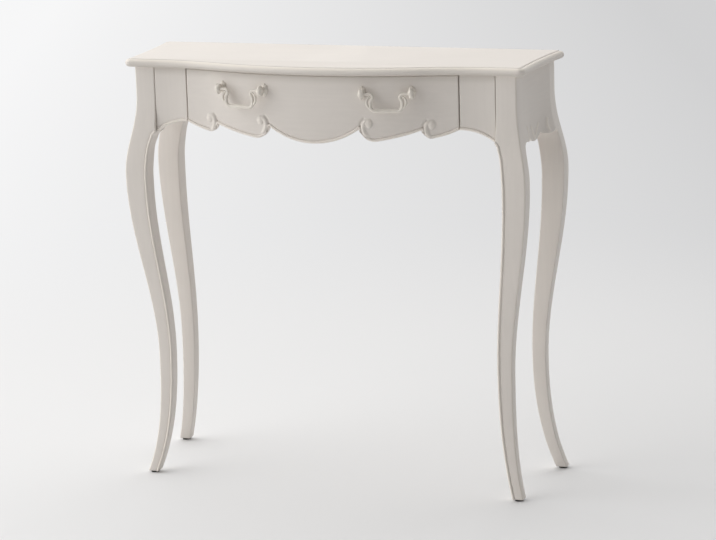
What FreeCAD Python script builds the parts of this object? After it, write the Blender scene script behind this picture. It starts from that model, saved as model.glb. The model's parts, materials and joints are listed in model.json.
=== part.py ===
import FreeCAD, Part
import math
import os
import re
from types import SimpleNamespace

from FreeCAD import Placement, Rotation, Vector

# Pier table in painted wood: serpentine front, four cabriole legs, one drawer with two bail pulls.
# Millimetres. X runs across the front, the front looks towards -Y, Z is up, the floor is z = 0.

DRIVING = {
    # Overall frame, measured on the square posts above the knees
    "height": 800.0,
    "front_half_width": 368.0,
    "rear_spread": 15.0,
    "frame_depth": 204.0,
    "post": 38.5,
    # Serpentine of the front between the posts: its bow, and where the curve turns over
    "bow": 49.0,
    "bow_turn_share": 0.60,
    # Moulded top
    "top_thickness": 15.0,
    "top_step": 3.0,
    "top_step_inset": 7.0,
    "top_nose": 5.0,
    "top_front_overhang": 12.0,
    "top_side_overhang": 18.0,
    "top_back_overhang": 8.0,
    "top_corner": 14.0,
    "top_flare": 13.0,
    "top_flare_start": 32.0,
    # Cabriole legs: drops below the top and heights above the floor, the same for all four
    "shoulder_drop": 54.0,
    "knee_drop": 200.0,
    "inner_knee_drop": 215.0,
    "ankle_height": 228.0,
    "inner_ankle_height": 240.0,
    "toe_splay_share": 0.34,
    # Offsets outward from the post and thicknesses: across is seen from the front, along from the side
    "front_across_knee_swell": 20.0,
    "front_across_knee_thickness": 44.0,
    "front_across_ankle_inset": 18.4,
    "front_across_ankle_thickness": 28.0,
    "front_across_toe_flare": 6.0,
    "front_across_toe_thickness": 21.8,
    "front_along_knee_swell": 22.0,
    "front_along_knee_thickness": 33.0,
    "front_along_ankle_inset": 7.2,
    "front_along_ankle_thickness": 23.4,
    "front_along_toe_flare": 15.0,
    "front_along_toe_thickness": 19.0,
    "rear_across_knee_swell": 24.0,
    "rear_across_knee_thickness": 43.0,
    "rear_across_ankle_inset": 13.4,
    "rear_across_ankle_thickness": 26.4,
    "rear_across_toe_flare": 16.8,
    "rear_across_toe_thickness": 22.2,
    "rear_along_knee_swell": 4.0,
    "rear_along_knee_thickness": 35.5,
    "rear_along_ankle_inset": 15.8,
    "rear_along_ankle_thickness": 23.8,
    "rear_along_toe_flare": 14.4,
    "rear_along_toe_thickness": 19.2,
    # Front apron: drop below the top, arch of the fixed panels, lobes of the drawer
    "apron_drop": 100.0,
    "arch_drop": 24.0,
    "panel_width": 65.5,
    "drawer_gap": 2.0,
    "front_thickness": 22.0,
    "panel_recess": 0.6,
    "joint_gap": 0.6,
    "centre_lobe_drop": 25.0,
    "inner_lobe_drop": 18.7,
    "outer_lobe_drop": 14.5,
    "inner_cusp_rise": 3.0,
    "inner_cusp_share": 0.329,
    "inner_lobe_share": 0.469,
    "outer_cusp_share": 0.751,
    "outer_lobe_share": 0.835,
    "scroll_bend_share": 0.25,
    "scroll_dip_share": 0.72,
    "rise_bend_share": 0.50,
    "rise_dip_share": 0.40,
    # Carving of the front: bead along the lower edge, round eyes of the scrolls
    "bead_width": 7.0,
    "bead_height": 2.0,
    "eye_rise": 10.5,
    "eye_setback": 18.0,
    "eye_ring_radius": 10.0,
    "eye_ring_width": 3.0,
    "eye_ring_height": 2.2,
    "eye_quirk_height": 0.8,
    "eye_radius": 4.5,
    "eye_tip_radius": 3.0,
    "eye_height": 3.2,
    # Side aprons and back rail
    "side_apron_thickness": 20.0,
    "side_recess": 2.0,
    "side_lobe_drop": 11.0,
    "side_bracket_drop": 4.0,
    "side_notch_rise": 1.0,
    "side_notch_share": 0.30,
    "back_rail_thickness": 18.0,
    "back_rail_recess": 12.0,
    "back_rail_drop": 95.0,
    # Mortise and tenon joints
    "tenon_thickness": 8.0,
    "tenon_length": 18.0,
    "tenon_margin": 12.0,
    "tenon_clearance": 0.1,
    # Drawer carriage under the top
    "rail_width": 40.0,
    "lower_rail_thickness": 18.0,
    "upper_rail_thickness": 12.0,
    "lower_rail_drop": 75.0,
    "runner_width": 42.0,
    "guide_thickness": 12.0,
    "guide_height": 20.0,
    "stop_width": 40.0,
    "stop_height": 30.0,
    "stop_gap": 0.3,
    "guide_setback": 5.0,
    "block_depth": 20.0,
    "block_height": 45.0,
    # Drawer box
    "box_side_gap": 1.0,
    "box_running_gap": 0.4,
    "box_top_gap": 3.0,
    "box_side": 12.0,
    "box_back": 12.0,
    "box_back_rebate": 5.0,
    "box_back_space": 8.0,
    "box_bottom": 4.0,
    "box_bottom_lift": 6.0,
    "groove_depth": 5.0,
    "groove_clearance": 0.1,
    # Bail pulls
    "handle_place_share": 0.527,
    "handle_drop": 30.5,
    "handle_centres": 90.0,
    "pivot_standoff": 14.0,
    "post_base_radius": 9.0,
    "post_base_height": 3.0,
    "post_neck_radius": 4.5,
    "post_ball_radius": 7.5,
    "seat_margin": 0.3,
    "seat_clearance": 0.2,
    "bail_rod": 2.6,
    "bail_clearance": 0.05,
    "bail_pin": 3.0,
    "bail_neck_inset": 14.0,
    "bail_neck_bend": 6.0,
    "bail_neck_angle": 130.0,
    "bail_shoulder_bend": 10.0,
    "bail_corner_bend": 9.0,
    "bail_drop": 31.0,
    # Screws and glides
    "screw_radius": 2.0,
    "screw_clearance": 0.1,
    "screw_head_radius": 4.0,
    "screw_head_height": 2.5,
    "handle_screw_bite": 9.0,
    "block_screw_bite": 14.5,
    "top_screw_bite": 9.0,
    "glide_radius": 7.5,
    "glide_height": 3.0,
}
SIDES = (("left", -1), ("right", 1))
ENDS = ("front", "rear")

doc = FreeCAD.newDocument("pier_table")
sheet = doc.addObject("Spreadsheet::Sheet", "sizes")
nodes = []


def write_sheet(values, first_row):
    """One row per size: its name, its number, and the name again as the cell's alias."""
    for row, (name, number) in enumerate(values.items(), start=first_row):
        sheet.set(f"A{row}", name)
        sheet.set(f"B{row}", repr(number))
        sheet.setAlias(f"B{row}", name)
    doc.recompute()


write_sheet(DRIVING, 1)
S = SimpleNamespace(**{name: float(sheet.get(name)) for name in DRIVING})


class Serpentine:
    """Front line in plan: a convex middle arc running into two hollow arcs and then straight."""

    def __init__(self, run):
        self.run = run
        self.angle = 2 * math.atan2(S.bow, run)
        radii = run / math.sin(self.angle)
        self.middle = S.bow_turn_share * radii
        self.hollow = radii - self.middle

    def lean(self, x):
        """Angle by which the front is turned away from -Y at x, in radians."""
        reach = min(abs(x), self.run)
        on_middle = reach < self.middle * math.sin(self.angle)
        turned = math.asin(reach / self.middle if on_middle else (self.run - reach) / self.hollow)
        return math.copysign(turned, x)

    def bulge(self, x, outward=0):
        """How far the front, moved outward by an offset, stands before the posts at x."""
        reach = min(abs(x), self.run)
        middle = self.middle + outward
        hollow = self.hollow - outward
        if reach < middle * math.sin(self.angle):
            return S.bow - self.middle + math.sqrt(middle ** 2 - reach ** 2)
        return self.hollow - math.sqrt(hollow ** 2 - (self.run - reach) ** 2)

    def point(self, x, front, outward):
        """Point of the front at x, where the posts stand at y = front."""
        return Vector(x, front - self.bulge(x, outward))

    def edges(self, front, outward, end):
        """Left to right, moved outward by an offset, ending at x = -end and +end."""
        turn = (self.middle + outward) * math.sin(self.angle)
        last = min(end, self.run)
        hollow = [self.point(x, front, outward) for x in (turn, (turn + last) / 2, last)]
        curves = [
            arc(*[mirrored(point) for point in reversed(hollow)]),
            arc(mirrored(hollow[0]), self.point(0, front, outward), hollow[0]),
            arc(*hollow),
        ]
        if end > self.run:
            tip = self.point(end, front, outward)
            curves = [line(mirrored(tip), mirrored(hollow[-1])), *curves, line(hollow[-1], tip)]
        return curves


def mirrored(point):
    return Vector(-point.x, point.y, point.z)


def line(start, end):
    return Part.LineSegment(start, end)


def arc(start, middle, end):
    return Part.Arc(start, middle, end)


def polyline(points):
    return [line(a, b) for a, b in zip(points, points[1:])]


# Places worked out from the sizes, kept in the same sheet so that pieces can be bound to them.
opening_half_width = S.front_half_width - S.post - S.panel_width
serpentine = Serpentine(S.front_half_width - S.post)
handle_place = S.handle_place_share * (opening_half_width - S.drawer_gap)
handle_angle = serpentine.lean(handle_place)
handle_reach = (serpentine.bulge(handle_place) + S.handle_centres / 2 * math.sin(handle_angle)
                + S.pivot_standoff * math.cos(handle_angle) + S.post_ball_radius)
front_reach = max(handle_reach, S.bow + S.top_front_overhang)
# The face falls back towards each post of a pull and slopes across the post's width there.
face_sag = (S.handle_centres / 2) ** 2 / (2 * serpentine.middle)
face_slope = S.handle_centres / 2 / serpentine.middle
rear_reach = max(S.rear_along_knee_swell, S.rear_along_toe_flare, S.top_back_overhang)
total_depth = front_reach + S.frame_depth + rear_reach
front_y = front_reach - total_depth / 2
box_half_width = opening_half_width - S.guide_thickness - S.guide_setback
underside = S.height - S.top_thickness
PLACES = {
    "rear_half_width": S.front_half_width + S.rear_spread,
    "opening_half_width": opening_half_width,
    "front_y": front_y,
    "back_y": total_depth / 2 - rear_reach,
    "underside": underside,
    "apron_z": underside - S.apron_drop,
    "spring_z": underside - S.apron_drop - S.arch_drop,
    "rail_z": underside - S.lower_rail_drop - S.lower_rail_thickness,
    "carriage_z": underside - S.lower_rail_drop,
    "inner_front_y": front_y + S.front_thickness,
    "back_rail_y": total_depth / 2 - rear_reach - S.back_rail_recess - S.back_rail_thickness,
    "box_half_width": box_half_width,
    "box_front_y": front_y - serpentine.bulge(box_half_width - S.box_side, -S.front_thickness),
    "handle_z": underside - S.handle_drop,
    "post_seat": face_sag + face_slope * S.post_base_radius + S.seat_margin,
    "screw_seat": S.front_thickness + face_sag - face_slope * S.screw_head_radius - S.seat_margin,
}
write_sheet(PLACES, len(DRIVING) + 1)
P = SimpleNamespace(**{name: float(sheet.get(name)) for name in PLACES})
HALF_WIDTH = {"front": S.front_half_width, "rear": P.rear_half_width}

PLANES = {
    "plan": Placement(),
    "front": Placement(Vector(), Rotation(Vector(1, 0, 0), 90)),
    "side": Placement(Vector(), Rotation(Vector(1, 1, 1), 120)),
}


def bind(feature, **formulas):
    """Bind properties to the sheet: every word in a formula is the name of a cell."""
    for name, formula in formulas.items():
        cells = re.sub(r"[a-z][a-z_]*", lambda word: "sizes." + word.group(0), formula)
        feature.setExpression(name.replace("_at_", "."), cells)
    return feature


def place(feature, x, y, z):
    return bind(feature, Placement_at_Base_at_x=x, Placement_at_Base_at_y=y, Placement_at_Base_at_z=z)


def box(name, x, y, z, length, width, height):
    feature = doc.addObject("Part::Box", name)
    bind(feature, Length=length, Width=width, Height=height)
    return place(feature, x, y, z)


def paired_box(name, inner, y, z, length, width, height):
    """A box each side of the centre plane, starting at the distance called inner."""
    pair = {}
    for side, sign in SIDES:
        x = inner if sign > 0 else f"-({inner}) - ({length})"
        pair[side] = box(f"{side}_{name}", x, y, z, length, width, height)
    return pair


def cylinder(name, radius, height, placement):
    feature = doc.addObject("Part::Cylinder", name)
    feature.Placement = placement
    return bind(feature, Radius=radius, Height=height)


def sketch(name, plane, geometry, body=None):
    """A profile on one of the three planes, or on the same plane of a body's own origin."""
    if body is None:
        profile = doc.addObject("Sketcher::SketchObject", name)
        profile.Placement = PLANES[plane]
    else:
        role = {"plan": "XY_Plane", "front": "XZ_Plane", "side": "YZ_Plane"}[plane]
        profile = body.newObject("Sketcher::SketchObject", name)
        origin = [item for item in body.Origin.OriginFeatures if item.Role == role]
        profile.AttachmentSupport = (origin[0], [""])
        profile.MapMode = "FlatFace"
    for curve in geometry:
        profile.addGeometry(curve, False)
    return profile


def extrusion(name, profile, forward, backward=None):
    feature = doc.addObject("Part::Extrusion", name)
    feature.Base = profile
    feature.DirMode = "Normal"
    feature.Solid = True
    bind(feature, LengthFwd=forward)
    if backward:
        bind(feature, LengthRev=backward)
    return feature


def compound(name, members):
    feature = doc.addObject("Part::Compound", name)
    feature.Links = members
    return feature


def boolean(kind, name, base, tool):
    feature = doc.addObject(kind, name)
    feature.Base = base
    feature.Tool = tool
    return feature


def cut(name, base, tools):
    return boolean("Part::Cut", name, base, compound(name + "_tools", tools))


def fuse(name, shapes):
    feature = doc.addObject("Part::MultiFuse", name)
    feature.Shapes = shapes
    return feature


def common(name, first, second):
    return boolean("Part::Common", name, first, second)


def node(label, feature):
    """Name the finished piece; the name is that of its file."""
    feature.Label = label
    nodes.append(feature)
    return feature


def spline(points, tangents):
    """Smooth curve through points; a tangent of None leaves the direction free there."""
    curve = Part.BSplineCurve()
    fixed = [tangent is not None for tangent in tangents]
    directions = [tangent or Vector(0, 1) for tangent in tangents]
    curve.interpolate(Points=points, Tangents=directions, TangentFlags=fixed)
    return curve


# Cabriole legs


def arch_angle():
    """Slope of the front panel's arch where it meets the leg."""
    run = S.front_half_width - S.post - P.opening_half_width
    return 2 * math.atan2(S.arch_drop, run)


LEG_SIZES = ("knee_swell", "knee_thickness", "ankle_inset", "ankle_thickness", "toe_flare", "toe_thickness")


def leg_sizes(end, view):
    """Sizes of a front or rear leg in one view, across or along."""
    return SimpleNamespace(**{size: getattr(S, f"{end}_{view}_{size}") for size in LEG_SIZES})


def leg_profile(leg, arch, to_plane):
    """Outline of a leg seen square on; arch is the slope of the apron's edge where it runs into the leg, and
    to_plane turns (outward offset, height) into sketch points."""
    up = (to_plane(0, 1) - to_plane(0, 0)).normalize()
    out = (to_plane(1, 0) - to_plane(0, 0)).normalize()
    toe = to_plane(leg.toe_flare, S.glide_height)
    ankle = to_plane(-leg.ankle_inset, S.ankle_height)
    knee = to_plane(leg.knee_swell, P.underside - S.knee_drop)
    shoulder = to_plane(0, P.underside - S.shoulder_drop)
    outer_top = to_plane(0, P.underside)
    inner_top = to_plane(-S.post, P.underside)
    spring = to_plane(-S.post, P.spring_z)
    inner_knee = to_plane(leg.knee_swell - leg.knee_thickness, P.underside - S.inner_knee_drop)
    inner_ankle = to_plane(-leg.ankle_inset - leg.ankle_thickness, S.inner_ankle_height)
    heel = to_plane(leg.toe_flare - leg.toe_thickness, S.glide_height)
    splay = up - out * S.toe_splay_share
    slope = out * math.cos(arch) - up * math.sin(arch)
    outer = spline([toe, ankle, knee, shoulder], [splay, up, up, up])
    inner = spline([spring, inner_knee, inner_ankle, heel], [slope, -up, -up, -splay])
    return [
        outer,
        *polyline([shoulder, outer_top, inner_top, spring]),
        inner,
        line(heel, toe),
    ]


def edge_bead(name, outline, proud, shift, limits):
    """Raised band along one edge: a slab standing proud, kept inside an outline but not inside the same
    outline moved by shift, and cut by any limits."""
    edge = extrusion(name + "_bead_edge", outline, "frame_depth", "frame_depth")
    field = extrusion(name + "_bead_field", outline, "frame_depth", "frame_depth")
    bind(field, **shift)
    band = common(name + "_bead_band", proud, edge)
    return cut(name + "_bead", band, [field, *limits])


def tenon_height():
    return "apron_drop - 2 * tenon_margin"


def make_leg(end, side, sign, tools):
    """Two sawn profiles, one seen from the front and one from the side, leave the leg in common."""
    name = f"{end}_{side}_leg"
    half_width = HALF_WIDTH[end]
    face, outward = (P.front_y, -1) if end == "front" else (P.back_y, 1)
    across = sketch(name + "_front_profile", "front", leg_profile(
        leg_sizes(end, "across"), arch_angle(), lambda offset, z: Vector(sign * (half_width + offset), z)))
    along = sketch(name + "_side_profile", "side", leg_profile(
        leg_sizes(end, "along"), 0, lambda offset, z: Vector(face + outward * offset, z)))
    seen_front = extrusion(name + "_front_cut", across, "frame_depth", "frame_depth")
    seen_side = extrusion(name + "_side_cut", along, "height", "height")
    blank = common(name + "_blank", seen_front, seen_side)
    if end == "front":
        proud = extrusion(name + "_proud", along, "height", "height")
        bind(proud, Placement_at_Base_at_y="-bead_height")
        above = box(name + "_above", "-height", "-frame_depth", "spring_z + bead_width",
                    "2 * height", "2 * frame_depth", "height")
        shift = "bead_width" if sign > 0 else "-bead_width"
        bead = edge_bead(name, across, proud, {"Placement_at_Base_at_x": shift}, [above])
        blank = fuse(name + "_beaded", [blank, bead])
    node(name, cut(name + "_mortised", blank, tools))


def post_faces_y(end):
    """Inner face of a front or rear post, as a formula, and the way from it into the post."""
    return ("front_y + post", -1) if end == "front" else ("back_y - post", 1)


def side_tenon(name, end, sign, grow):
    """Tenon of a side apron in y, or its mortise when grown by the clearance."""
    face, way = post_faces_y(end)
    extra = "tenon_clearance" if grow else "0"
    length = f"(tenon_length + {extra})"
    x = f"{end}_half_width - side_recess - side_apron_thickness / 2 - tenon_thickness / 2 - {extra}"
    if sign < 0:
        x = f"-({x}) - tenon_thickness - 2 * {extra}"
    y = face if way > 0 else f"{face} - {length}"
    z = f"underside - apron_drop + tenon_margin - {extra}"
    return box(name, x, y, z, f"tenon_thickness + 2 * {extra}", length,
               f"{tenon_height()} + 2 * {extra}")


def cross_tenon(name, end, sign, y, z, height, grow):
    """Tenon in x at the end of a front panel, a rail or the back rail, or its mortise."""
    extra = "tenon_clearance" if grow else "0"
    length = f"(tenon_length + {extra})"
    inner = f"({end}_half_width - post)"
    x = inner if sign > 0 else f"-{inner} - {length}"
    return box(name, x, f"{y} - {extra}", f"{z} - {extra}", length,
               f"tenon_thickness + 2 * {extra}", f"{height} + 2 * {extra}")


PANEL_TENON = {
    "end": "front",
    "y": "front_y + panel_recess + front_thickness / 2 - tenon_thickness / 2",
    "z": "underside - apron_drop + tenon_margin",
    "height": tenon_height(),
}
BACK_TENON = {
    "end": "rear",
    "y": "back_rail_y + back_rail_thickness / 2 - tenon_thickness / 2",
    "z": "underside - back_rail_drop + tenon_margin",
    "height": "back_rail_drop - 2 * tenon_margin",
}


def block_corner(end, sign):
    """Inner corner of a post in plan and the diagonal that points from it into the post."""
    half_width = HALF_WIDTH[end]
    y = P.front_y + S.post if end == "front" else P.back_y - S.post
    way = Vector(sign, -1 if end == "front" else 1).normalize()
    return Vector(sign * (half_width - S.post), y), way


def block_screw_placement(end, sign):
    corner, way = block_corner(end, sign)
    start = corner - way * S.block_depth
    start.z = P.carriage_z + (S.lower_rail_drop - S.upper_rail_thickness) / 2
    return Placement(start, Rotation(Vector(0, 0, 1), way))


def make_legs():
    for end in ENDS:
        for side, sign in SIDES:
            stem = f"{end}_{side}"
            tools = [side_tenon(stem + "_side_mortise", end, sign, True)]
            joint = PANEL_TENON if end == "front" else BACK_TENON
            tools.append(cross_tenon(stem + "_cross_mortise", sign=sign, grow=True, **joint))
            tools.append(cylinder(stem + "_pilot", "screw_radius + screw_clearance",
                                  "block_depth + block_screw_bite",
                                  block_screw_placement(end, sign)))
            make_leg(end, side, sign, tools)


# Moulded top


def top_outline(inset):
    """Plan of the top, its front and sides moved in by inset; the back edge has no moulding."""
    back = P.back_y + S.top_back_overhang
    front = P.front_y - S.top_front_overhang + inset
    side = S.front_half_width + S.top_side_overhang - inset
    radius = S.top_corner - inset / 2
    start = front + S.top_flare_start - inset
    depth = back - start
    sweep = (depth ** 2 + S.top_flare ** 2) / (2 * S.top_flare)
    half = math.asin(depth / sweep) / 2
    flare_middle = Vector(side + sweep * (1 - math.cos(half)), start + sweep * math.sin(half))
    flare_end = Vector(side + S.top_flare, back)
    flare_start = Vector(side, start)
    corner_side = Vector(side, front + radius)
    diagonal = radius * (1 - math.sqrt(2) / 2)
    corner_middle = Vector(side - diagonal, front + diagonal)
    corner_front = Vector(side - radius, front)
    right = [
        arc(corner_front, corner_middle, corner_side),
        line(corner_side, flare_start),
        arc(flare_start, flare_middle, flare_end),
    ]
    left = [
        arc(mirrored(corner_front), mirrored(corner_middle), mirrored(corner_side)),
        line(mirrored(corner_side), mirrored(flare_start)),
        arc(mirrored(flare_start), mirrored(flare_middle), mirrored(flare_end)),
    ]
    front_line = serpentine.edges(P.front_y, S.top_front_overhang - inset, side - radius)
    return [*front_line, *right, line(flare_end, mirrored(flare_end)), *left]


def pad(body, profile, length, lift):
    profile.setExpression("AttachmentOffset.Base.z", lift)
    feature = body.newObject("PartDesign::Pad", profile.Name + "_pad")
    feature.Profile = profile
    feature.setExpression("Length", length)
    doc.recompute()
    return feature


def nose_edges(shape, back):
    """Upper and lower outer edges of the moulding, without the back edge and the step."""
    names = []
    for index, edge in enumerate(shape.Edges, start=1):
        bounds = edge.BoundBox
        flat = bounds.ZLength < S.top_nose / 2
        low = bounds.ZMax < S.height - S.top_step / 2
        rim = flat and low and bounds.YMin < back - S.top_nose / 2
        if rim and not is_step_foot(edge, shape):
            names.append(f"Edge{index}")
    return names


def is_step_foot(edge, shape):
    """True for the inner line of the moulding, where the raised field starts."""
    middle = edge.valueAt((edge.FirstParameter + edge.LastParameter) / 2)
    above = middle + Vector(0, 0, S.top_step / 2)
    return shape.distToShape(Part.Vertex(above))[0] < S.top_step / 4


def top_screw_places():
    kicker_y = (P.inner_front_y + S.rail_width, P.back_rail_y)
    quarter = (kicker_y[1] - kicker_y[0]) / 4
    inner = P.box_half_width - S.box_side - S.screw_head_radius - S.box_side_gap
    return [Vector(sign * inner, y, P.underside - S.upper_rail_thickness)
            for _, sign in SIDES for y in (kicker_y[0] + quarter, kicker_y[1] - quarter)]


def make_top():
    body = doc.addObject("PartDesign::Body", "top_board")
    field = sketch("top_moulding", "plan", top_outline(0), body)
    pad(body, field, "sizes.top_thickness - sizes.top_step", "sizes.underside")
    raised = sketch("top_field", "plan", top_outline(S.top_step_inset), body)
    upper = pad(body, raised, "sizes.top_step", "sizes.height - sizes.top_step")
    nose = body.newObject("PartDesign::Fillet", "top_nose_round")
    nose.Base = (upper, nose_edges(upper.Shape, P.back_y + S.top_back_overhang))
    nose.setExpression("Radius", "sizes.top_nose")
    body.Tip = nose
    doc.recompute()
    holes = [cylinder(f"top_pilot_{index}", "screw_radius + screw_clearance",
                      "upper_rail_thickness + top_screw_bite", Placement(point, Rotation()))
             for index, point in enumerate(top_screw_places())]
    node("tabletop", cut("top_bored", body, holes))


# Fixed front panels, side aprons and back rail


def arch_edge(sign):
    """Lower edge of a fixed panel, level at the drawer and falling to the leg."""
    start = P.opening_half_width
    run = S.front_half_width - S.post - P.opening_half_width
    radius = run / math.sin(arch_angle())
    half = arch_angle() / 2
    level = Vector(sign * start, P.apron_z)
    middle = Vector(sign * (start + radius * math.sin(half)), P.apron_z - radius * (1 - math.cos(half)))
    spring = Vector(sign * (start + run), P.spring_z)
    return arc(level, middle, spring), level, spring


def panel_slab(name, sign, outer, inner):
    """Slab from the drawer to a post, between two offsets from the serpentine."""
    middle = (P.opening_half_width + serpentine.run) / 2
    edges = []
    for outward in (outer, inner):
        points = [serpentine.point(x, P.front_y, outward)
                  for x in (P.opening_half_width, middle, serpentine.run)]
        edges.append([Vector(sign * point.x, point.y) for point in points])
    face, back = edges
    plan = sketch(name + "_plan", "plan", [
        arc(*face), line(face[-1], back[-1]), arc(*back), line(back[0], face[0])])
    return extrusion(name, plan, "underside")


def make_panel(side, sign):
    name = f"front_{side}_panel"
    edge, level, spring = arch_edge(sign)
    outline = sketch(name + "_outline", "front", [
        edge, *polyline([spring, Vector(spring.x, P.underside), Vector(level.x, P.underside), level])])
    sawn = extrusion(name + "_sawn", outline, "frame_depth", "frame_depth")
    slab = panel_slab(name + "_slab", sign, -S.panel_recess, -S.panel_recess - S.front_thickness)
    board = common(name + "_board", slab, sawn)
    x = "front_half_width - post - joint_gap" if sign > 0 else "-(front_half_width - post)"
    relief = box(name + "_relief", x, "front_y", "spring_z", "joint_gap", "front_thickness / 2",
                 "underside - spring_z")
    tongue = cross_tenon(name + "_tenon", sign=sign, grow=False, **PANEL_TENON)
    proud = panel_slab(name + "_proud", sign, S.bead_height, -S.front_thickness)
    bead = edge_bead(name, outline, proud, {"Placement_at_Base_at_z": "bead_width"}, [])
    node(name, fuse(name + "_joined", [cut(name + "_shadowed", board, [relief]), bead, tongue]))


def side_arc(offset):
    """Outer line of a right side apron in plan, moved inward by offset."""
    start = P.front_y + S.post
    depth = S.frame_depth - 2 * S.post
    flare = P.rear_half_width - S.front_half_width
    sweep = (depth ** 2 + flare ** 2) / (2 * flare)
    centre = Vector(S.front_half_width - S.side_recess + sweep, start)
    radius = sweep + offset
    last = math.asin(depth / radius)
    points = [Vector(centre.x - radius * math.cos(a), centre.y + radius * math.sin(a))
              for a in (0, last / 2, last)]
    return arc(*points), points[0], points[2]


def side_lower_edge():
    """Lower edge of a side apron from front post to rear post: bracket, lobe, bracket."""
    front = P.front_y + S.post
    depth = S.frame_depth - 2 * S.post

    def at(share, z):
        return Vector(front + share * depth, z)

    notch = S.side_notch_share
    notch_z = P.spring_z + S.side_notch_rise
    bracket_z = P.spring_z - S.side_bracket_drop
    low = at(1 / 2, P.spring_z - S.side_lobe_drop)
    return [
        arc(at(0, P.spring_z), at(notch / 2, bracket_z), at(notch, notch_z)),
        arc(at(notch, notch_z), low, at(1 - notch, notch_z)),
        arc(at(1 - notch, notch_z), at(1 - notch / 2, bracket_z), at(1, P.spring_z)),
    ]


def make_side_apron(side, sign):
    name = f"{side}_side_apron"
    outer, outer_front, outer_rear = side_arc(0)
    inner, inner_front, inner_rear = side_arc(S.side_apron_thickness)
    ring = [outer, line(outer_rear, inner_rear), inner, line(inner_front, outer_front)]
    if sign < 0:
        ring = [mirror_curve(curve) for curve in ring]
    plan = sketch(name + "_plan", "plan", ring)
    slab = extrusion(name + "_slab", plan, "underside")
    lower = side_lower_edge()
    front, rear = lower[0].StartPoint, lower[-1].EndPoint
    elevation = sketch(name + "_elevation", "side", [
        *lower, *polyline([rear, Vector(rear.x, P.underside), Vector(front.x, P.underside), front])])
    seen_side = extrusion(name + "_sawn", elevation, "height", "height")
    board = common(name + "_board", slab, seen_side)
    tenons = [side_tenon(f"{name}_{end}_tenon", end, sign, False) for end in ENDS]
    node(name, fuse(name + "_joined", [board, *tenons]))


def mirror_curve(curve):
    """The same line or arc on the other side of the centre plane."""
    if isinstance(curve, Part.LineSegment):
        return line(mirrored(curve.StartPoint), mirrored(curve.EndPoint))
    middle = curve.value((curve.FirstParameter + curve.LastParameter) / 2)
    return arc(mirrored(curve.StartPoint), mirrored(middle), mirrored(curve.EndPoint))


def make_back_rail():
    board = box("back_board", "post - rear_half_width", "back_rail_y", "underside - back_rail_drop",
                "2 * (rear_half_width - post)", "back_rail_thickness", "back_rail_drop")
    tenons = [cross_tenon(f"back_{side}_tenon", sign=sign, grow=False, **BACK_TENON)
              for side, sign in SIDES]
    node("back_rail", fuse("back_rail_joined", [board, *tenons]))


# Carriage that holds the drawer


def make_carriage():
    half = "front_half_width - post"
    node("front_lower_rail", box("lower_rail", f"-({half})", "inner_front_y + panel_recess", "rail_z",
                                 f"2 * ({half})", "rail_width", "lower_rail_thickness"))
    node("front_upper_rail", box("upper_rail", f"-({half})", "inner_front_y + panel_recess",
                                 "underside - upper_rail_thickness", f"2 * ({half})", "rail_width",
                                 "upper_rail_thickness"))
    behind = "inner_front_y + panel_recess + rail_width"
    length = f"back_rail_y - ({behind})"
    inner = "box_half_width + box_side_gap + guide_thickness - runner_width"
    runners = paired_box("drawer_runner", inner, behind, "rail_z", "runner_width", length,
                         "lower_rail_thickness")
    guides = paired_box("drawer_guide", "box_half_width + box_side_gap", behind, "carriage_z",
                        "guide_thickness", length, "guide_height")
    kickers = paired_box("kicker_blank", inner, behind, "underside - upper_rail_thickness",
                         "runner_width", length, "upper_rail_thickness")
    stops = paired_box("drawer_stop", "box_half_width - box_side - stop_width",
                       "back_rail_y - box_back_space + stop_gap", "carriage_z + guide_height", "stop_width",
                       "box_back_space - stop_gap", "stop_height")
    places = top_screw_places()
    for index, (side, _) in enumerate(SIDES):
        node(f"{side}_drawer_runner", runners[side])
        node(f"{side}_drawer_guide", guides[side])
        node(f"{side}_drawer_stop", stops[side])
        holes = []
        for point in places[2 * index:2 * index + 2]:
            stem = f"{side}_kicker_hole_{len(holes)}"
            upright = Placement(point, Rotation())
            holes.append(cylinder(stem, "screw_radius + screw_clearance", "upper_rail_thickness", upright))
            holes.append(cylinder(stem + "_sink", "screw_head_radius + screw_clearance",
                                  "screw_head_height", upright))
        node(f"{side}_kicker", cut(f"{side}_kicker_bored", kickers[side], holes))


def make_screw(name, length, placement):
    """Pan-head screw whose head starts at the placement and whose shank runs along its Z axis."""
    shank = cylinder(name + "_shank", "screw_radius", length, Placement())
    head = cylinder(name + "_head", "screw_head_radius", "screw_head_height", Placement())
    screw = fuse(name, [shank, head])
    screw.Placement = placement
    return screw


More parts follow.
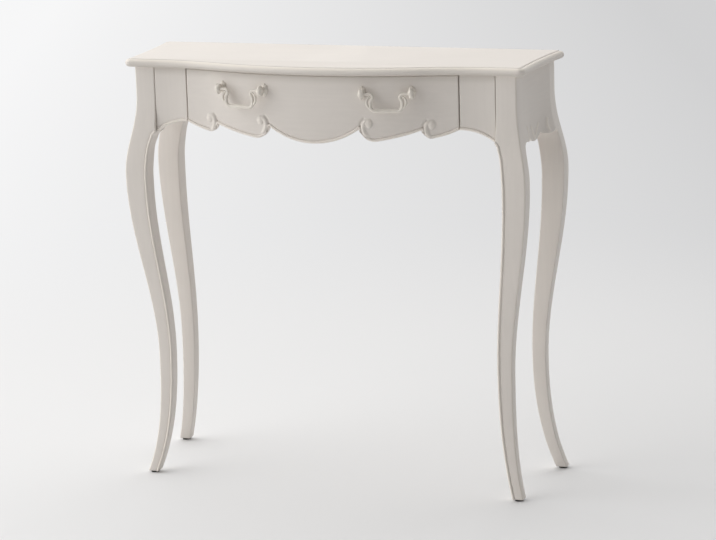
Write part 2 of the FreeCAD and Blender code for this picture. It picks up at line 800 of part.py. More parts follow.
def make_corner_block(end, side, sign):
    """Glue block round a post's inner corner, with a flat face for the screw."""
    name = f"{end}_{side}_corner_block"
    corner, way = block_corner(end, sign)
    face = P.inner_front_y + S.panel_recess if end == "front" else P.back_rail_y
    inner_arc = side_arc(S.side_apron_thickness + S.joint_gap)[0]
    if sign < 0:
        inner_arc = mirror_curve(inner_arc)
    foot = corner - way * S.block_depth
    across = Vector(way.x, -way.y)
    along_face = foot - across * abs((face - foot.y) / across.y)
    slant = line(foot, foot + across * S.frame_depth)
    reach = slant.toShape().distToShape(inner_arc.toShape())[1][0][0]
    post_end = inner_arc.StartPoint if end == "front" else inner_arc.EndPoint
    circle = inner_arc.toShape().Curve
    between = circle.Center + ((reach + post_end) / 2 - circle.Center).normalize() * circle.Radius
    straight = polyline([post_end, corner, Vector(corner.x, face), along_face, reach])
    profile = sketch(name + "_plan", "plan", [*straight, arc(reach, between, post_end)])
    bind(profile, Placement_at_Base_at_z="carriage_z + (lower_rail_drop - upper_rail_thickness"
                                         " - block_height) / 2")
    prism = extrusion(name + "_prism", profile, "block_height")
    placement = block_screw_placement(end, sign)
    hole = cylinder(name + "_hole", "screw_radius + screw_clearance", "block_depth + block_screw_bite",
                    placement)
    sink = cylinder(name + "_sink", "screw_head_radius + screw_clearance", "screw_head_height", placement)
    node(name, cut(name + "_bored", prism, [hole, sink]))
    return make_screw(name + "_screw", "block_depth + block_screw_bite", placement)


def make_fasteners():
    screws = [make_corner_block(end, side, sign) for end in ENDS for side, sign in SIDES]
    node("corner_block_screws", compound("corner_screw_set", screws))
    tops = [make_screw(f"top_screw_{index}", "upper_rail_thickness + top_screw_bite",
                       Placement(point, Rotation()))
            for index, point in enumerate(top_screw_places())]
    node("top_screws", compound("top_screw_set", tops))


def make_glides():
    discs = []
    for end in ENDS:
        for side, sign in SIDES:
            half_width = HALF_WIDTH[end]
            face, outward = (P.front_y, -1) if end == "front" else (P.back_y, 1)
            across, along = leg_sizes(end, "across"), leg_sizes(end, "along")
            out_x = across.toe_flare - across.toe_thickness / 2
            out_y = along.toe_flare - along.toe_thickness / 2
            centre = Vector(sign * (half_width + out_x), face + outward * out_y)
            discs.append(cylinder(f"{end}_{side}_glide", "glide_radius", "glide_height",
                                  Placement(centre, Rotation())))
    node("foot_glides", compound("glide_set", discs))


# Drawer


def lobe_edges(sign):
    """Scalloped lower edge from the drawer's middle to one end."""
    end = P.opening_half_width - S.drawer_gap

    def at(share, z):
        return Vector(sign * share * end, z)

    def bent(start, finish, along, down):
        """Arc from start to finish, bent at a share of its run and of its height."""
        middle = Vector(start.x + (finish.x - start.x) * along, start.y + (finish.y - start.y) * down)
        return arc(start, middle, finish)

    base = P.apron_z
    inner_cusp = at(S.inner_cusp_share, base + S.inner_cusp_rise)
    inner_low = at(S.inner_lobe_share, base - S.inner_lobe_drop)
    outer_cusp = at(S.outer_cusp_share, base)
    outer_low = at(S.outer_lobe_share, base - S.outer_lobe_drop)
    tip = at(1, base)
    cusps = [inner_cusp, outer_cusp]
    bend, dip = S.scroll_bend_share, S.scroll_dip_share
    rise_bend, rise_dip = S.rise_bend_share, S.rise_dip_share
    lobes = [
        bent(inner_cusp, inner_low, bend, dip),
        bent(inner_low, outer_cusp, rise_bend, rise_dip),
        bent(outer_cusp, outer_low, bend, dip),
        bent(outer_low, tip, rise_bend, rise_dip),
    ]
    return lobes, cusps, tip


FACE_AXIS = Rotation(Vector(1, 0, 0), -90)


def face_frame(x, z):
    """Placement on the drawer's face: X along the face, Y outward, Z up."""
    turn = Rotation(Vector(0, 0, 1), 180 + math.degrees(serpentine.lean(x)))
    return Placement(Vector(x, P.front_y - serpentine.bulge(x), z), turn)


def handle_frame(sign):
    """Placement of a pull, its origin on the face between its posts."""
    return face_frame(sign * handle_place, P.handle_z)


def scroll_eyes(side, cusps):
    """A raised ring with a knob in it beside each cusp, where the bead of a lobe curls up."""
    eyes = []
    for index, cusp in enumerate(cusps):
        stem = f"{side}_eye_{index}"
        outward = math.copysign(S.eye_setback, cusp.x)
        face = face_frame(cusp.x + outward, cusp.y + S.eye_rise)
        root = face.multiply(Placement(Vector(0, -S.front_thickness / 2, 0), FACE_AXIS))
        floor = face.multiply(Placement(Vector(0, S.eye_quirk_height, 0), FACE_AXIS))
        disc = cylinder(stem + "_disc", "eye_ring_radius", "front_thickness / 2 + eye_ring_height", root)
        quirk = cylinder(stem + "_quirk", "eye_ring_radius - eye_ring_width", "eye_ring_height", floor)
        knob = doc.addObject("Part::Cone", stem + "_knob")
        knob.Placement = root
        bind(knob, Radius1="eye_radius", Radius2="eye_tip_radius",
             Height="front_thickness / 2 + eye_height")
        eyes += [cut(stem + "_ring", disc, [quirk]), knob]
    return eyes


def post_placement(sign, way, depth):
    """On the axis of one handle post, at a distance along its outward normal."""
    local = Placement(Vector(way * S.handle_centres / 2, depth, 0), FACE_AXIS)
    return handle_frame(sign).multiply(local)


def drawer_slab(name, outer, inner):
    """Slab of the drawer's width between two offsets from the serpentine."""
    end = P.opening_half_width - S.drawer_gap
    face = serpentine.edges(P.front_y, outer, end)
    back = serpentine.edges(P.front_y, inner, end)
    ends = [line(face[0].StartPoint, back[0].StartPoint), line(face[-1].EndPoint, back[-1].EndPoint)]
    return extrusion(name, sketch(name + "_plan", "plan", [*face, *back, *ends]), "underside")


def make_drawer_front():
    slab = drawer_slab("drawer_front_slab", 0, -S.front_thickness)
    right, cusps, tip = lobe_edges(1)
    left, left_cusps, left_tip = lobe_edges(-1)
    crown = Vector(0, P.apron_z - S.centre_lobe_drop)
    top = P.underside - S.drawer_gap
    elevation = sketch("drawer_front_elevation", "front", [
        *left, arc(left_cusps[0], crown, cusps[0]), *right,
        *polyline([tip, Vector(tip.x, top), Vector(left_tip.x, top), left_tip])])
    sawn = extrusion("drawer_front_sawn", elevation, "frame_depth", "frame_depth")
    board = common("drawer_front_board", slab, sawn)
    proud = drawer_slab("drawer_front_proud", S.bead_height, -S.front_thickness / 2)
    bead = edge_bead("drawer_front", elevation, proud, {"Placement_at_Base_at_z": "bead_width"}, [])
    eyes = scroll_eyes("left", left_cusps) + scroll_eyes("right", cusps)
    carved = fuse("drawer_front_carved", [board, bead, *eyes])
    tools = drawer_dados() + [drawer_bottom_solid("drawer_groove", "groove_clearance")]
    for side, sign in SIDES:
        for way in (-1, 1):
            stem = f"{side}_seat_{way + 1}"
            tools.append(cylinder(stem, "post_base_radius + seat_clearance", "post_base_radius",
                                  post_placement(sign, way, -P.post_seat)))
            tools.append(cylinder(stem + "_hole", "screw_radius + screw_clearance", "2 * front_thickness",
                                  post_placement(sign, way, -2 * S.front_thickness)))
            inner = post_placement(sign, way, -P.screw_seat - S.front_thickness)
            tools.append(cylinder(stem + "_sink", "screw_head_radius + seat_clearance",
                                  "front_thickness", inner))
    node("drawer_front", cut("drawer_front_fitted", carved, tools))


def side_box(name, grow):
    """Drawer sides with the tongue that enters the front, or the cut for it when grown."""
    extra = "groove_clearance" if grow else "0"
    return paired_box(name, f"box_half_width - box_side - {extra}",
                      f"box_front_y - groove_depth - {extra}",
                      f"carriage_z + box_running_gap - {extra}",
                      f"box_side + 2 * {extra}",
                      f"back_rail_y - box_back_space - box_front_y + groove_depth + {extra}",
                      f"lower_rail_drop - upper_rail_thickness - box_running_gap - box_top_gap"
                      f" + 2 * {extra}")


def drawer_dados():
    return list(side_box("drawer_dado", True).values())


def drawer_bottom_solid(name, clearance):
    """Bottom board, its front edge following the bow inside a groove; grown it is that groove."""
    extra = S.groove_clearance if clearance else 0
    lift = "carriage_z + box_running_gap + box_bottom_lift"
    half = P.box_half_width - S.box_side + S.groove_depth + extra
    back = P.back_rail_y - S.box_back_space
    front = serpentine.edges(P.front_y, S.groove_depth + extra - S.front_thickness, half)
    start, finish = front[0].StartPoint, front[-1].EndPoint
    rest = polyline([finish, Vector(half, back), Vector(-half, back), start])
    profile = sketch(name + "_plan", "plan", [*front, *rest])
    board = extrusion(name, profile, "box_bottom" + (" + 2 * " + clearance if clearance else ""))
    return bind(board, Placement_at_Base_at_z=lift + (" - " + clearance if clearance else ""))


def make_drawer_box():
    sides = side_box("drawer_side_blank", False)
    for side, _ in SIDES:
        groove = drawer_bottom_solid(f"{side}_side_groove", "groove_clearance")
        node(f"drawer_{side}_side", cut(f"{side}_side_grooved", sides[side], [groove]))
    inside = "box_half_width - box_side"
    above = "carriage_z + box_running_gap + box_bottom_lift + box_bottom + groove_clearance"
    top = "underside - upper_rail_thickness - box_top_gap - box_back_rebate"
    node("drawer_back", box("back_of_drawer", f"-({inside})", "back_rail_y - box_back_space - box_back",
                            above, f"2 * ({inside})", "box_back", f"{top} - ({above})"))
    node("drawer_bottom", drawer_bottom_solid("bottom_of_drawer", None))


# Bail pulls


def make_handle_post(name, placement):
    """Turned post standing on a seat in the face, its ball bored along the pull for the bail."""
    body = doc.addObject("PartDesign::Body", name)
    ball = S.pivot_standoff + P.post_seat
    waist = ball - math.sqrt(S.post_ball_radius ** 2 - S.post_neck_radius ** 2)
    half_base = (S.post_base_radius + S.post_neck_radius) / 2
    lip = Vector(S.post_base_radius, S.post_base_height / 2)
    ring = Vector(half_base, S.post_base_height)
    neck = Vector(S.post_neck_radius, S.post_base_height + S.post_neck_radius / 2)
    profile = sketch(name + "_profile", "front", [
        *polyline([Vector(0, 0), Vector(S.post_base_radius, 0), lip, ring, neck,
                   Vector(S.post_neck_radius, waist)]),
        arc(Vector(S.post_neck_radius, waist), Vector(S.post_ball_radius, ball),
            Vector(0, ball + S.post_ball_radius)),
        line(Vector(0, ball + S.post_ball_radius), Vector(0, 0)),
    ], body)
    turned = body.newObject("PartDesign::Revolution", name + "_turned")
    turned.Profile = profile
    turned.ReferenceAxis = (profile, ["V_Axis"])
    turned.Angle = 360
    doc.recompute()
    tools = [
        cylinder(name + "_eye", "bail_rod + bail_clearance", "4 * post_ball_radius",
                 Placement(Vector(-2 * S.post_ball_radius, 0, ball), Rotation(Vector(0, 1, 0), 90))),
        cylinder(name + "_bore", "screw_radius + screw_clearance", "handle_screw_bite", Placement()),
    ]
    post = cut(name + "_bored", body, tools)
    post.Placement = placement
    return post


def make_bail(side, sign):
    """Swan-neck bail: pins in the posts, necks, shoulders, corners and a level grip."""
    half = S.handle_centres / 2
    angle = math.radians(S.bail_neck_angle)
    bend = S.bail_neck_bend
    pin = Vector(half + S.bail_pin, 0, 0)
    neck = Vector(half - S.bail_neck_inset, 0, 0)
    neck_middle = Vector(neck.x - bend * math.sin(angle / 2), 0, -bend * (1 - math.cos(angle / 2)))
    neck_end = Vector(neck.x - bend * math.sin(angle), 0, -bend * (1 - math.cos(angle)))
    lean = angle - math.pi / 2
    shoulder = S.bail_shoulder_bend
    centre = neck_end - Vector(math.cos(lean), 0, math.sin(lean)) * shoulder
    shoulder_middle = centre + Vector(math.cos(lean / 2), 0, math.sin(lean / 2)) * shoulder
    shoulder_end = centre + Vector(shoulder, 0, 0)
    corner = S.bail_corner_bend
    corner_start = Vector(shoulder_end.x, 0, corner - S.bail_drop)
    diagonal = corner * math.sqrt(2) / 2
    corner_middle = Vector(shoulder_end.x - corner + diagonal, 0, corner - diagonal - S.bail_drop)
    grip = Vector(shoulder_end.x - corner, 0, -S.bail_drop)
    right = [
        line(pin, neck),
        arc(neck, neck_middle, neck_end),
        arc(neck_end, shoulder_middle, shoulder_end),
        line(shoulder_end, corner_start),
        arc(corner_start, corner_middle, grip),
    ]
    left = [mirror_curve(curve) for curve in right]
    path = Part.Wire(Part.__sortEdges__([curve.toShape() for curve in
                                         [*right, line(grip, mirrored(grip)), *left]]))
    section = Part.Wire(Part.Circle(pin, Vector(1, 0, 0), S.bail_rod).toShape())
    bail = doc.addObject("Part::Feature", f"{side}_bail_rod")
    bail.Shape = path.makePipeShell([section], True, False)
    bail.Placement = handle_frame(sign).multiply(Placement(Vector(0, S.pivot_standoff, 0), Rotation()))
    node(f"{side}_bail", bail)


def make_handles():
    screws = []
    for side, sign in SIDES:
        posts = []
        for way in (-1, 1):
            stem = f"{side}_handle_{way + 1}"
            posts.append(make_handle_post(stem, post_placement(sign, way, -P.post_seat)))
            screws.append(make_screw(stem + "_screw",
                                     "screw_seat - post_seat + handle_screw_bite + screw_head_height",
                                     post_placement(sign, way, -P.screw_seat - S.screw_head_height)))
        node(f"{side}_handle_posts", compound(f"{side}_post_pair", posts))
        make_bail(side, sign)
    node("handle_screws", compound("handle_screw_set", screws))


def check_and_write():
    """Stop on any failed feature or bad solid, then write one file per node."""
    doc.recompute()
    for feature in doc.Objects:
        if {"Invalid", "Error"} & set(feature.State):
            raise RuntimeError(f"{feature.Label} failed: {feature.State}")
    os.makedirs("parts", exist_ok=True)
    for feature in nodes:
        shape = feature.Shape
        if shape.isNull() or not shape.isValid() or not shape.Solids:
            raise RuntimeError(f"{feature.Label} has no valid solid")
        print(f"{feature.Label:28s} solids {len(shape.Solids)}  volume {shape.Volume:12.1f}")
    whole = Part.makeCompound([feature.Shape for feature in nodes]).BoundBox
    print(f"{len(nodes)} nodes, x {whole.XMin:.2f} {whole.XMax:.2f}, y {whole.YMin:.2f} {whole.YMax:.2f},"
          f" z {whole.ZMin:.2f} {whole.ZMax:.2f}")
    for feature in nodes:
        feature.Shape.exportStep(f"parts/{feature.Label}.step")


make_top()
make_legs()
for side_name, side_sign in SIDES:
    make_panel(side_name, side_sign)
    make_side_apron(side_name, side_sign)
make_back_rail()
make_carriage()
make_fasteners()
make_glides()
make_drawer_front()
make_drawer_box()
make_handles()
check_and_write()
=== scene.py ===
"""Looks of the pier table: softened and carved painted wood, cream bail pulls, pale studio."""

import json
import math

import bmesh
import bpy
import numpy as np
from mathutils import Matrix, Vector
from mathutils.kdtree import KDTree


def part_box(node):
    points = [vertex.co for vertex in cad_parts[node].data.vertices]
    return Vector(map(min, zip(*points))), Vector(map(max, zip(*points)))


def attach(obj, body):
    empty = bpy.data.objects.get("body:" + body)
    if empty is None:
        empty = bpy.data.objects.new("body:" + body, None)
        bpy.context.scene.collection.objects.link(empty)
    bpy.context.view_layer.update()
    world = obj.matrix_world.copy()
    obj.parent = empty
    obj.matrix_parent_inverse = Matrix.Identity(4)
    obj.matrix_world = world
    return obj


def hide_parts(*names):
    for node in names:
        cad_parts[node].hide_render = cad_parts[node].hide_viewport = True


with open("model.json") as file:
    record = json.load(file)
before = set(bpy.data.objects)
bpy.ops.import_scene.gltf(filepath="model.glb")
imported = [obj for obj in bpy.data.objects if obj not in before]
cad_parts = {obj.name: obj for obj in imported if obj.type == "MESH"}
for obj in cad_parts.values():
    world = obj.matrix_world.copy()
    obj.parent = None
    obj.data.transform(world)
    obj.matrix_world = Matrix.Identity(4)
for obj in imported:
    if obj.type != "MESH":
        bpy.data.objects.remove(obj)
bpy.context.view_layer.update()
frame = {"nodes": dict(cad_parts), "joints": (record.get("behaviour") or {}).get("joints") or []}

# Sizes of the solids in millimetres, in the shared frame: X to the right, -Y out of the front, Z up.
MM = 0.001
UNDERSIDE = 785.0
FRONT_HALF = 368.0
REAR_HALF = 383.0
POST = 38.5
FRAME_DEPTH = 204.0
BOARD = 22.0
PANEL_RECESS = 0.6
BOW = 49.0
BOW_RUN = FRONT_HALF - POST
BOW_TURN = 0.60
APRON_Z = 685.0
SPRING_Z = 661.0
OPENING_HALF = 264.0
DRAWER_GAP = 2.0
DRAWER_END = OPENING_HALF - DRAWER_GAP
DRAWER_CLEAR = 1.4
DRAWER_TOP = UNDERSIDE - DRAWER_CLEAR
GLIDE = 3.0
SIDE_BOARD = 20.0
SIDE_DEPTH = FRAME_DEPTH - 2.0 * POST
TOP_FRONT = 12.0
TOP_SIDE = 18.0
TOP_BACK = 8.0
TOP_CORNER = 14.0
TOP_FLARE = 13.0
TOP_FLARE_START = 32.0
FRONT_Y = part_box("front_lower_rail")[0].y / MM - BOARD - PANEL_RECESS
BACK_Y = FRONT_Y + FRAME_DEPTH
SIDES = (("left", -1), ("right", 1))

# Carving: a bead with a quirk beside it along the lower edges, and tones for the crests (worn paint and
# painted highlight), the quirks (dust and painted shade) and the painted shade below the top's moulding.
BEAD_WIDTH = 5.4
BEAD_RISE = 1.9
BEAD_SINK = 1.8
BEAD_REACH = 12.0
QUIRK_WIDTH = 1.8
QUIRK_DEPTH = 0.8
CREST_TONE = 0.8
QUIRK_TONE = 0.35
# Painted shade below the top's moulding: its tone at the underside, and how far down it fades.
PAINTED_SHADE_TONE = -0.5
PAINTED_SHADE_DROP = 22.0


# Small curves


def smooth(t):
    t = np.clip(t, 0.0, 1.0)
    return t * t * (3.0 - 2.0 * t)


def arc_through(a, b, c, count):
    """Points of the circle arc from a over b to c in a plane."""
    a, b, c = (np.array(p, float) for p in (a, b, c))
    ab, ac = b - a, c - a
    ab_square, ac_square = ab.dot(ab), ac.dot(ac)
    cross = 2.0 * (ab[0] * ac[1] - ab[1] * ac[0])
    offset = np.array([ac[1] * ab_square - ab[1] * ac_square, ab[0] * ac_square - ac[0] * ab_square])
    centre = a + offset / cross
    angles = [math.atan2(*(p - centre)[::-1]) for p in (a, b, c)]
    for i in (1, 2):
        turn = angles[i] - angles[i - 1]
        angles[i] = angles[i - 1] + (turn + math.pi) % (2.0 * math.pi) - math.pi
    sweep = np.linspace(angles[0], angles[2], count)
    radius = np.linalg.norm(a - centre)
    return centre + radius * np.stack([np.cos(sweep), np.sin(sweep)], 1)


def chain(pieces):
    """Join runs of points, dropping each doubled joint."""
    return np.concatenate([pieces[0], *[piece[1:] for piece in pieces[1:]]])


def resampled(points, step):
    """The same line with points a step apart."""
    points = np.asarray(points, float)
    lengths = np.linalg.norm(np.diff(points, axis=0), axis=1)
    along = np.concatenate([[0.0], np.cumsum(lengths)])
    count = max(2, int(math.ceil(along[-1] / step)) + 1)
    at = np.linspace(0.0, along[-1], count)
    return np.stack([np.interp(at, along, points[:, k]) for k in range(points.shape[1])], 1)


class Line:
    """Distance from points to a line drawn on a board."""

    def __init__(self, points, step=0.15):
        self.points = resampled(points, step)
        self.tree = KDTree(len(self.points))
        for index, point in enumerate(self.points):
            self.tree.insert((point[0], point[1], 0.0), index)
        self.tree.balance()

    def nearest(self, u, z):
        """Distance of each point from the line, and the nearest place as a share of its length."""
        found = [self.tree.find((a, b, 0.0)) for a, b in zip(u.ravel(), z.ravel())]
        distance = np.array([f[2] for f in found]).reshape(u.shape)
        share = np.array([f[1] for f in found]).reshape(u.shape) / (len(self.points) - 1)
        return distance, share


def bead_height(distance):
    """Half-round bead from the edge inwards, then a quirk that runs out into the flat."""
    half = BEAD_WIDTH / 2.0
    inside = np.clip(1.0 - ((distance - half) / half) ** 2, 0.0, 1.0)
    bead = -BEAD_SINK + (BEAD_RISE + BEAD_SINK) * np.sqrt(inside)
    quirk = -QUIRK_DEPTH * (1.0 - smooth((distance - BEAD_WIDTH) / QUIRK_WIDTH))
    return np.where(distance < half, bead, np.where(distance < BEAD_WIDTH, np.maximum(bead, quirk), quirk))


def bead_on_board(distance):
    """Bead along an edge of a board that is flat beyond it."""
    return np.where(distance < BEAD_REACH, bead_height(distance), 0.0)


def edge_round(distance, radius):
    """Fall of a face towards a softened edge."""
    inside = np.clip(radius - distance, 0.0, radius)
    return np.sqrt(np.maximum(radius ** 2 - inside ** 2, 0.0)) - radius


def swell(distance, half, crest):
    """Raised strand along a line, round on top and running out into the board."""
    return crest * (1.0 - smooth(distance / half))


def relief_tone(rise):
    """Tone of carved paint: paler on the crests, worn paint and painted highlight, and a little darker in the
    quirks, dust and painted shade.
    """
    return np.clip(rise / BEAD_RISE, -1.0, 1.0) * np.where(rise > 0.0, CREST_TONE, QUIRK_TONE)


def painted_shade_below_top(z):
    """Tone of the painted shade below the top's moulding, darkest at the underside where the overhang's
    shadow falls.
    """
    return PAINTED_SHADE_TONE * (1.0 - smooth((UNDERSIDE - z) / PAINTED_SHADE_DROP))


# Serpentine front


SERPENTINE_ANGLE = 2.0 * math.atan2(BOW, BOW_RUN)
MIDDLE_RADIUS = BOW_TURN * BOW_RUN / math.sin(SERPENTINE_ANGLE)
HOLLOW_RADIUS = BOW_RUN / math.sin(SERPENTINE_ANGLE) - MIDDLE_RADIUS


def bulge(x, outward=0.0):
    """How far the front, moved outward by an offset, stands before the posts."""
    reach = np.minimum(np.abs(x), BOW_RUN)
    middle = MIDDLE_RADIUS + outward
    hollow = HOLLOW_RADIUS - outward
    convex = BOW - MIDDLE_RADIUS + np.sqrt(np.maximum(middle ** 2 - reach ** 2, 0.0))
    concave = HOLLOW_RADIUS - np.sqrt(np.maximum(hollow ** 2 - (BOW_RUN - reach) ** 2, 0.0))
    return np.where(reach < middle * math.sin(SERPENTINE_ANGLE), convex, concave)


def front_y(x, outward):
    return FRONT_Y - bulge(x, outward)


# Meshes


def piece(name, verts, faces, material, body, slot, nodes, tone=None, sharp=38.0):
    """Object from points in millimetres, smooth except at its sharp edges, riding on a body."""
    mesh = bpy.data.meshes.new(name)
    mesh.from_pydata((np.asarray(verts, float) * MM).tolist(), [], [list(f) for f in faces])
    if tone is not None:
        values = mesh.attributes.new("tone", "FLOAT", "POINT").data
        values.foreach_set("value", np.asarray(tone, np.float32))
    work = bmesh.new()
    work.from_mesh(mesh)
    bmesh.ops.remove_doubles(work, verts=work.verts, dist=1e-7)
    bmesh.ops.recalc_face_normals(work, faces=work.faces)
    work.to_mesh(mesh)
    work.free()
    mesh.shade_smooth()
    mesh.set_sharp_from_angle(angle=math.radians(sharp))
    mesh.materials.append(material)
    thing = bpy.data.objects.new(name, mesh)
    bpy.context.scene.collection.objects.link(thing)
    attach(thing, body)
    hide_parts(*nodes)


def grid_faces(rows, cols, close_cols=False):
    """Quads of a grid of points stored row by row."""
    faces = []
    for i in range(rows - 1):
        for j in range(cols if close_cols else cols - 1):
            k = (j + 1) % cols
            faces.append((i * cols + j, i * cols + k, (i + 1) * cols + k, (i + 1) * cols + j))
    return faces


def board(front, back):
    """Closed board: a grid of front points, and two rows of back points, low and high."""
    rows, cols = front.shape[:2]
    verts = np.concatenate([front.reshape(-1, 3), back.reshape(-1, 3)])
    low = rows * cols
    high = low + cols
    faces = grid_faces(rows, cols)
    last = (rows - 1) * cols
    for j in range(cols - 1):
        faces.append((j + 1, j, low + j, low + j + 1))
        faces.append((last + j, last + j + 1, high + j + 1, high + j))
        faces.append((low + j + 1, low + j, high + j, high + j + 1))
    for j in (0, cols - 1):
        faces.append([i * cols + j for i in range(rows)] + [high + j, low + j])
    return verts, faces


def board_tone(tone):
    """Tone of a board's points: its carved face between the sawn edge and the two rows of its back."""
    cols = tone.shape[1]
    return np.concatenate([np.zeros(cols), tone.ravel(), np.zeros(2 * cols)])


# Rounded ends of a rod, from the tip: shares of its radius.
CAP_SHARES = (0.0, 0.5, 0.87)


def tube(points, radii, sides, up):
    """Round rod along points with its own radius at each, closed by rounded ends."""
    points = np.asarray(points, float)
    radii = np.asarray(radii, float)
    tangent = np.gradient(points, axis=0)
    tangent /= np.linalg.norm(tangent, axis=1)[:, None]
    across = np.cross(tangent, np.asarray(up, float))
    across /= np.linalg.norm(across, axis=1)[:, None]
    other = np.cross(across, tangent)

    def cap(end, outward):
        reach = outward * tangent[end] * radii[end]
        return [(points[end] + reach * math.sqrt(1.0 - c * c), radii[end] * c, end) for c in CAP_SHARES]

    rows = cap(0, -1.0)
    rows += [(points[i], radii[i], i) for i in range(len(points))]
    rows += cap(-1, 1.0)[::-1]
    turn = np.linspace(0.0, 2.0 * math.pi, sides, endpoint=False)
    verts = [centre + radius * (math.cos(a) * across[i] + math.sin(a) * other[i])
             for centre, radius, i in rows for a in turn]
    return np.array(verts), grid_faces(len(rows), sides, close_cols=True)


def joined(parts):
    """One set of points and faces from several."""
    verts, faces, start = [], [], 0
    for part_verts, part_faces in parts:
        verts.append(part_verts)
        faces += [[start + i for i in face] for face in part_faces]
        start += len(part_verts)
    return np.concatenate(verts), faces


# Nodes of materials


def blank_material(name):
    """New material with its nodes, links and shader."""
    material = bpy.data.materials.new(name)
    material.use_nodes = True
    nodes, links = material.node_tree.nodes, material.node_tree.links
    return material, nodes, links, nodes["Principled BSDF"]


def stretched_noise(nodes, links, stretch, scale, detail, distortion=0.0):
    """Noise in the object's own space, drawn out along its grain."""
    place = nodes.new("ShaderNodeTexCoord")
    mapping = nodes.new("ShaderNodeMapping")
    mapping.inputs["Scale"].default_value = stretch
    links.new(place.outputs["Object"], mapping.inputs["Vector"])
    texture = nodes.new("ShaderNodeTexNoise")
    texture.inputs["Scale"].default_value = scale
    texture.inputs["Detail"].default_value = detail
    texture.inputs["Distortion"].default_value = distortion
    links.new(mapping.outputs["Vector"], texture.inputs["Vector"])
    return texture.outputs["Fac"]


def colour_ramp(nodes, links, source, places, colours):
    """Colour between two others, at two places of a value."""
    node = nodes.new("ShaderNodeValToRGB")
    for element, place, colour in zip(node.color_ramp.elements, places, colours):
        element.position = place
        element.color = colour
    links.new(source, node.inputs["Fac"])
    return node.outputs["Color"]


def ranged(nodes, links, source, reach, result=(0.0, 1.0), interpolation="LINEAR"):
    """A value moved from one range into another and held there."""
    node = nodes.new("ShaderNodeMapRange")
    node.interpolation_type = interpolation
    node.inputs["From Min"].default_value = reach[0]
    node.inputs["From Max"].default_value = reach[1]
    node.inputs["To Min"].default_value = result[0]
    node.inputs["To Max"].default_value = result[1]
    links.new(source, node.inputs["Value"])
    return node.outputs["Result"]


def mixed(nodes, links, factor, first, second):
    """Mix of two colours. Each input is a constant or the output of another node."""
    node = nodes.new("ShaderNodeMix")
    node.data_type = "RGBA"
    for socket, value in (("Factor", factor), ("A", first), ("B", second)):
        if isinstance(value, (float, tuple)):
            node.inputs[socket].default_value = value
        else:
            links.new(value, node.inputs[socket])
    return node.outputs["Result"]


def gloss_and_relief(nodes, links, shader, height, roughness, spread, bump, depth):
    """Roughness spread about a level, and fine relief, both driven by one noise."""
    levels = (roughness + spread[0], roughness + spread[1])
    links.new(ranged(nodes, links, height, (0.0, 1.0), levels), shader.inputs["Roughness"])
    relief = nodes.new("ShaderNodeBump")
    relief.inputs["Strength"].default_value = bump
    relief.inputs["Distance"].default_value = depth
    links.new(height, relief.inputs["Height"])
    links.new(relief.outputs["Normal"], shader.inputs["Normal"])


# Materials


# Paint: cloudy patches and brush strokes, each with its noise, the places of its ramp and its two shades.
CLOUD_STRETCH = (1.0, 1.0, 1.0)
CLOUD_SCALE = 9.0
CLOUD_DETAIL = 3.0
CLOUD_PLACES = (0.3, 0.7)
CLOUD_SHADES = (0.965, 1.02)
BRUSH_DETAIL = 4.0
BRUSH_PLACES = (0.35, 0.65)
BRUSH_SHADES = (0.97, 1.025)
BRUSH_SHARE = 0.45
# Tone ranges that mix in the crest colour (worn paint and painted highlight) and the groove colour (dust and
# painted shade).
WEAR_AND_HIGHLIGHT_TONES = (0.1, 1.0)
DUST_AND_SHADE_TONES = (-0.1, -1.0)
PAINT_SPREAD = (-0.06, 0.08)
PAINT_DEPTH = 0.0006
# Plain grain of raw wood, steel and plastic
GRAIN_DETAIL = 6.0
GRAIN_WARP = 0.6
GRAIN_PLACES = (0.32, 0.68)
GRAIN_SPREAD = (-0.08, 0.08)
GRAIN_DEPTH = 0.0008


def painted(name, colour, crest, groove, grain, roughness, bump):
    """Brushed paint: soft cloudy colour, strokes along the grain, crests paler with worn paint and painted
    highlight, grooves darker with dust and painted shade.
    """
    material, nodes, links, shader = blank_material(name)

    def shades(pair):
        return [tuple(min(1.0, c * by) for c in colour) + (1.0,) for by in pair]

    clouds = stretched_noise(nodes, links, CLOUD_STRETCH, CLOUD_SCALE, CLOUD_DETAIL)
    cloudy = colour_ramp(nodes, links, clouds, CLOUD_PLACES, shades(CLOUD_SHADES))
    strokes = stretched_noise(nodes, links, grain, 1.0, BRUSH_DETAIL)
    brushed = colour_ramp(nodes, links, strokes, BRUSH_PLACES, shades(BRUSH_SHADES))
    base = mixed(nodes, links, BRUSH_SHARE, cloudy, brushed)
    attribute = nodes.new("ShaderNodeAttribute")
    attribute.attribute_name = "tone"
    tone = attribute.outputs["Fac"]
    # Crests take the paler colour, worn paint and painted highlight; grooves take the darker one, dust and
    # painted shade.
    base = mixed(nodes, links, ranged(nodes, links, tone, WEAR_AND_HIGHLIGHT_TONES), base, crest + (1.0,))
    base = mixed(nodes, links, ranged(nodes, links, tone, DUST_AND_SHADE_TONES), base, groove + (1.0,))
    links.new(base, shader.inputs["Base Color"])
    gloss_and_relief(nodes, links, shader, strokes, roughness, PAINT_SPREAD, bump, PAINT_DEPTH)
    return material


def plain_grain(name, pale, dark, stretch, roughness, metallic, bump):
    """Raw wood, plated steel or moulded plastic: one stretched noise drives colour, gloss and relief."""
    material, nodes, links, shader = blank_material(name)
    shader.inputs["Metallic"].default_value = metallic
    grain = stretched_noise(nodes, links, stretch, 1.0, GRAIN_DETAIL, GRAIN_WARP)
    colour = colour_ramp(nodes, links, grain, GRAIN_PLACES, (dark + (1.0,), pale + (1.0,)))
    links.new(colour, shader.inputs["Base Color"])
    gloss_and_relief(nodes, links, shader, grain, roughness, GRAIN_SPREAD, bump, GRAIN_DEPTH)
    return material


def drawn_out(axis, along, across):
    """Scale of a grain that runs along one axis."""
    return tuple(along if k == axis else across for k in range(3))


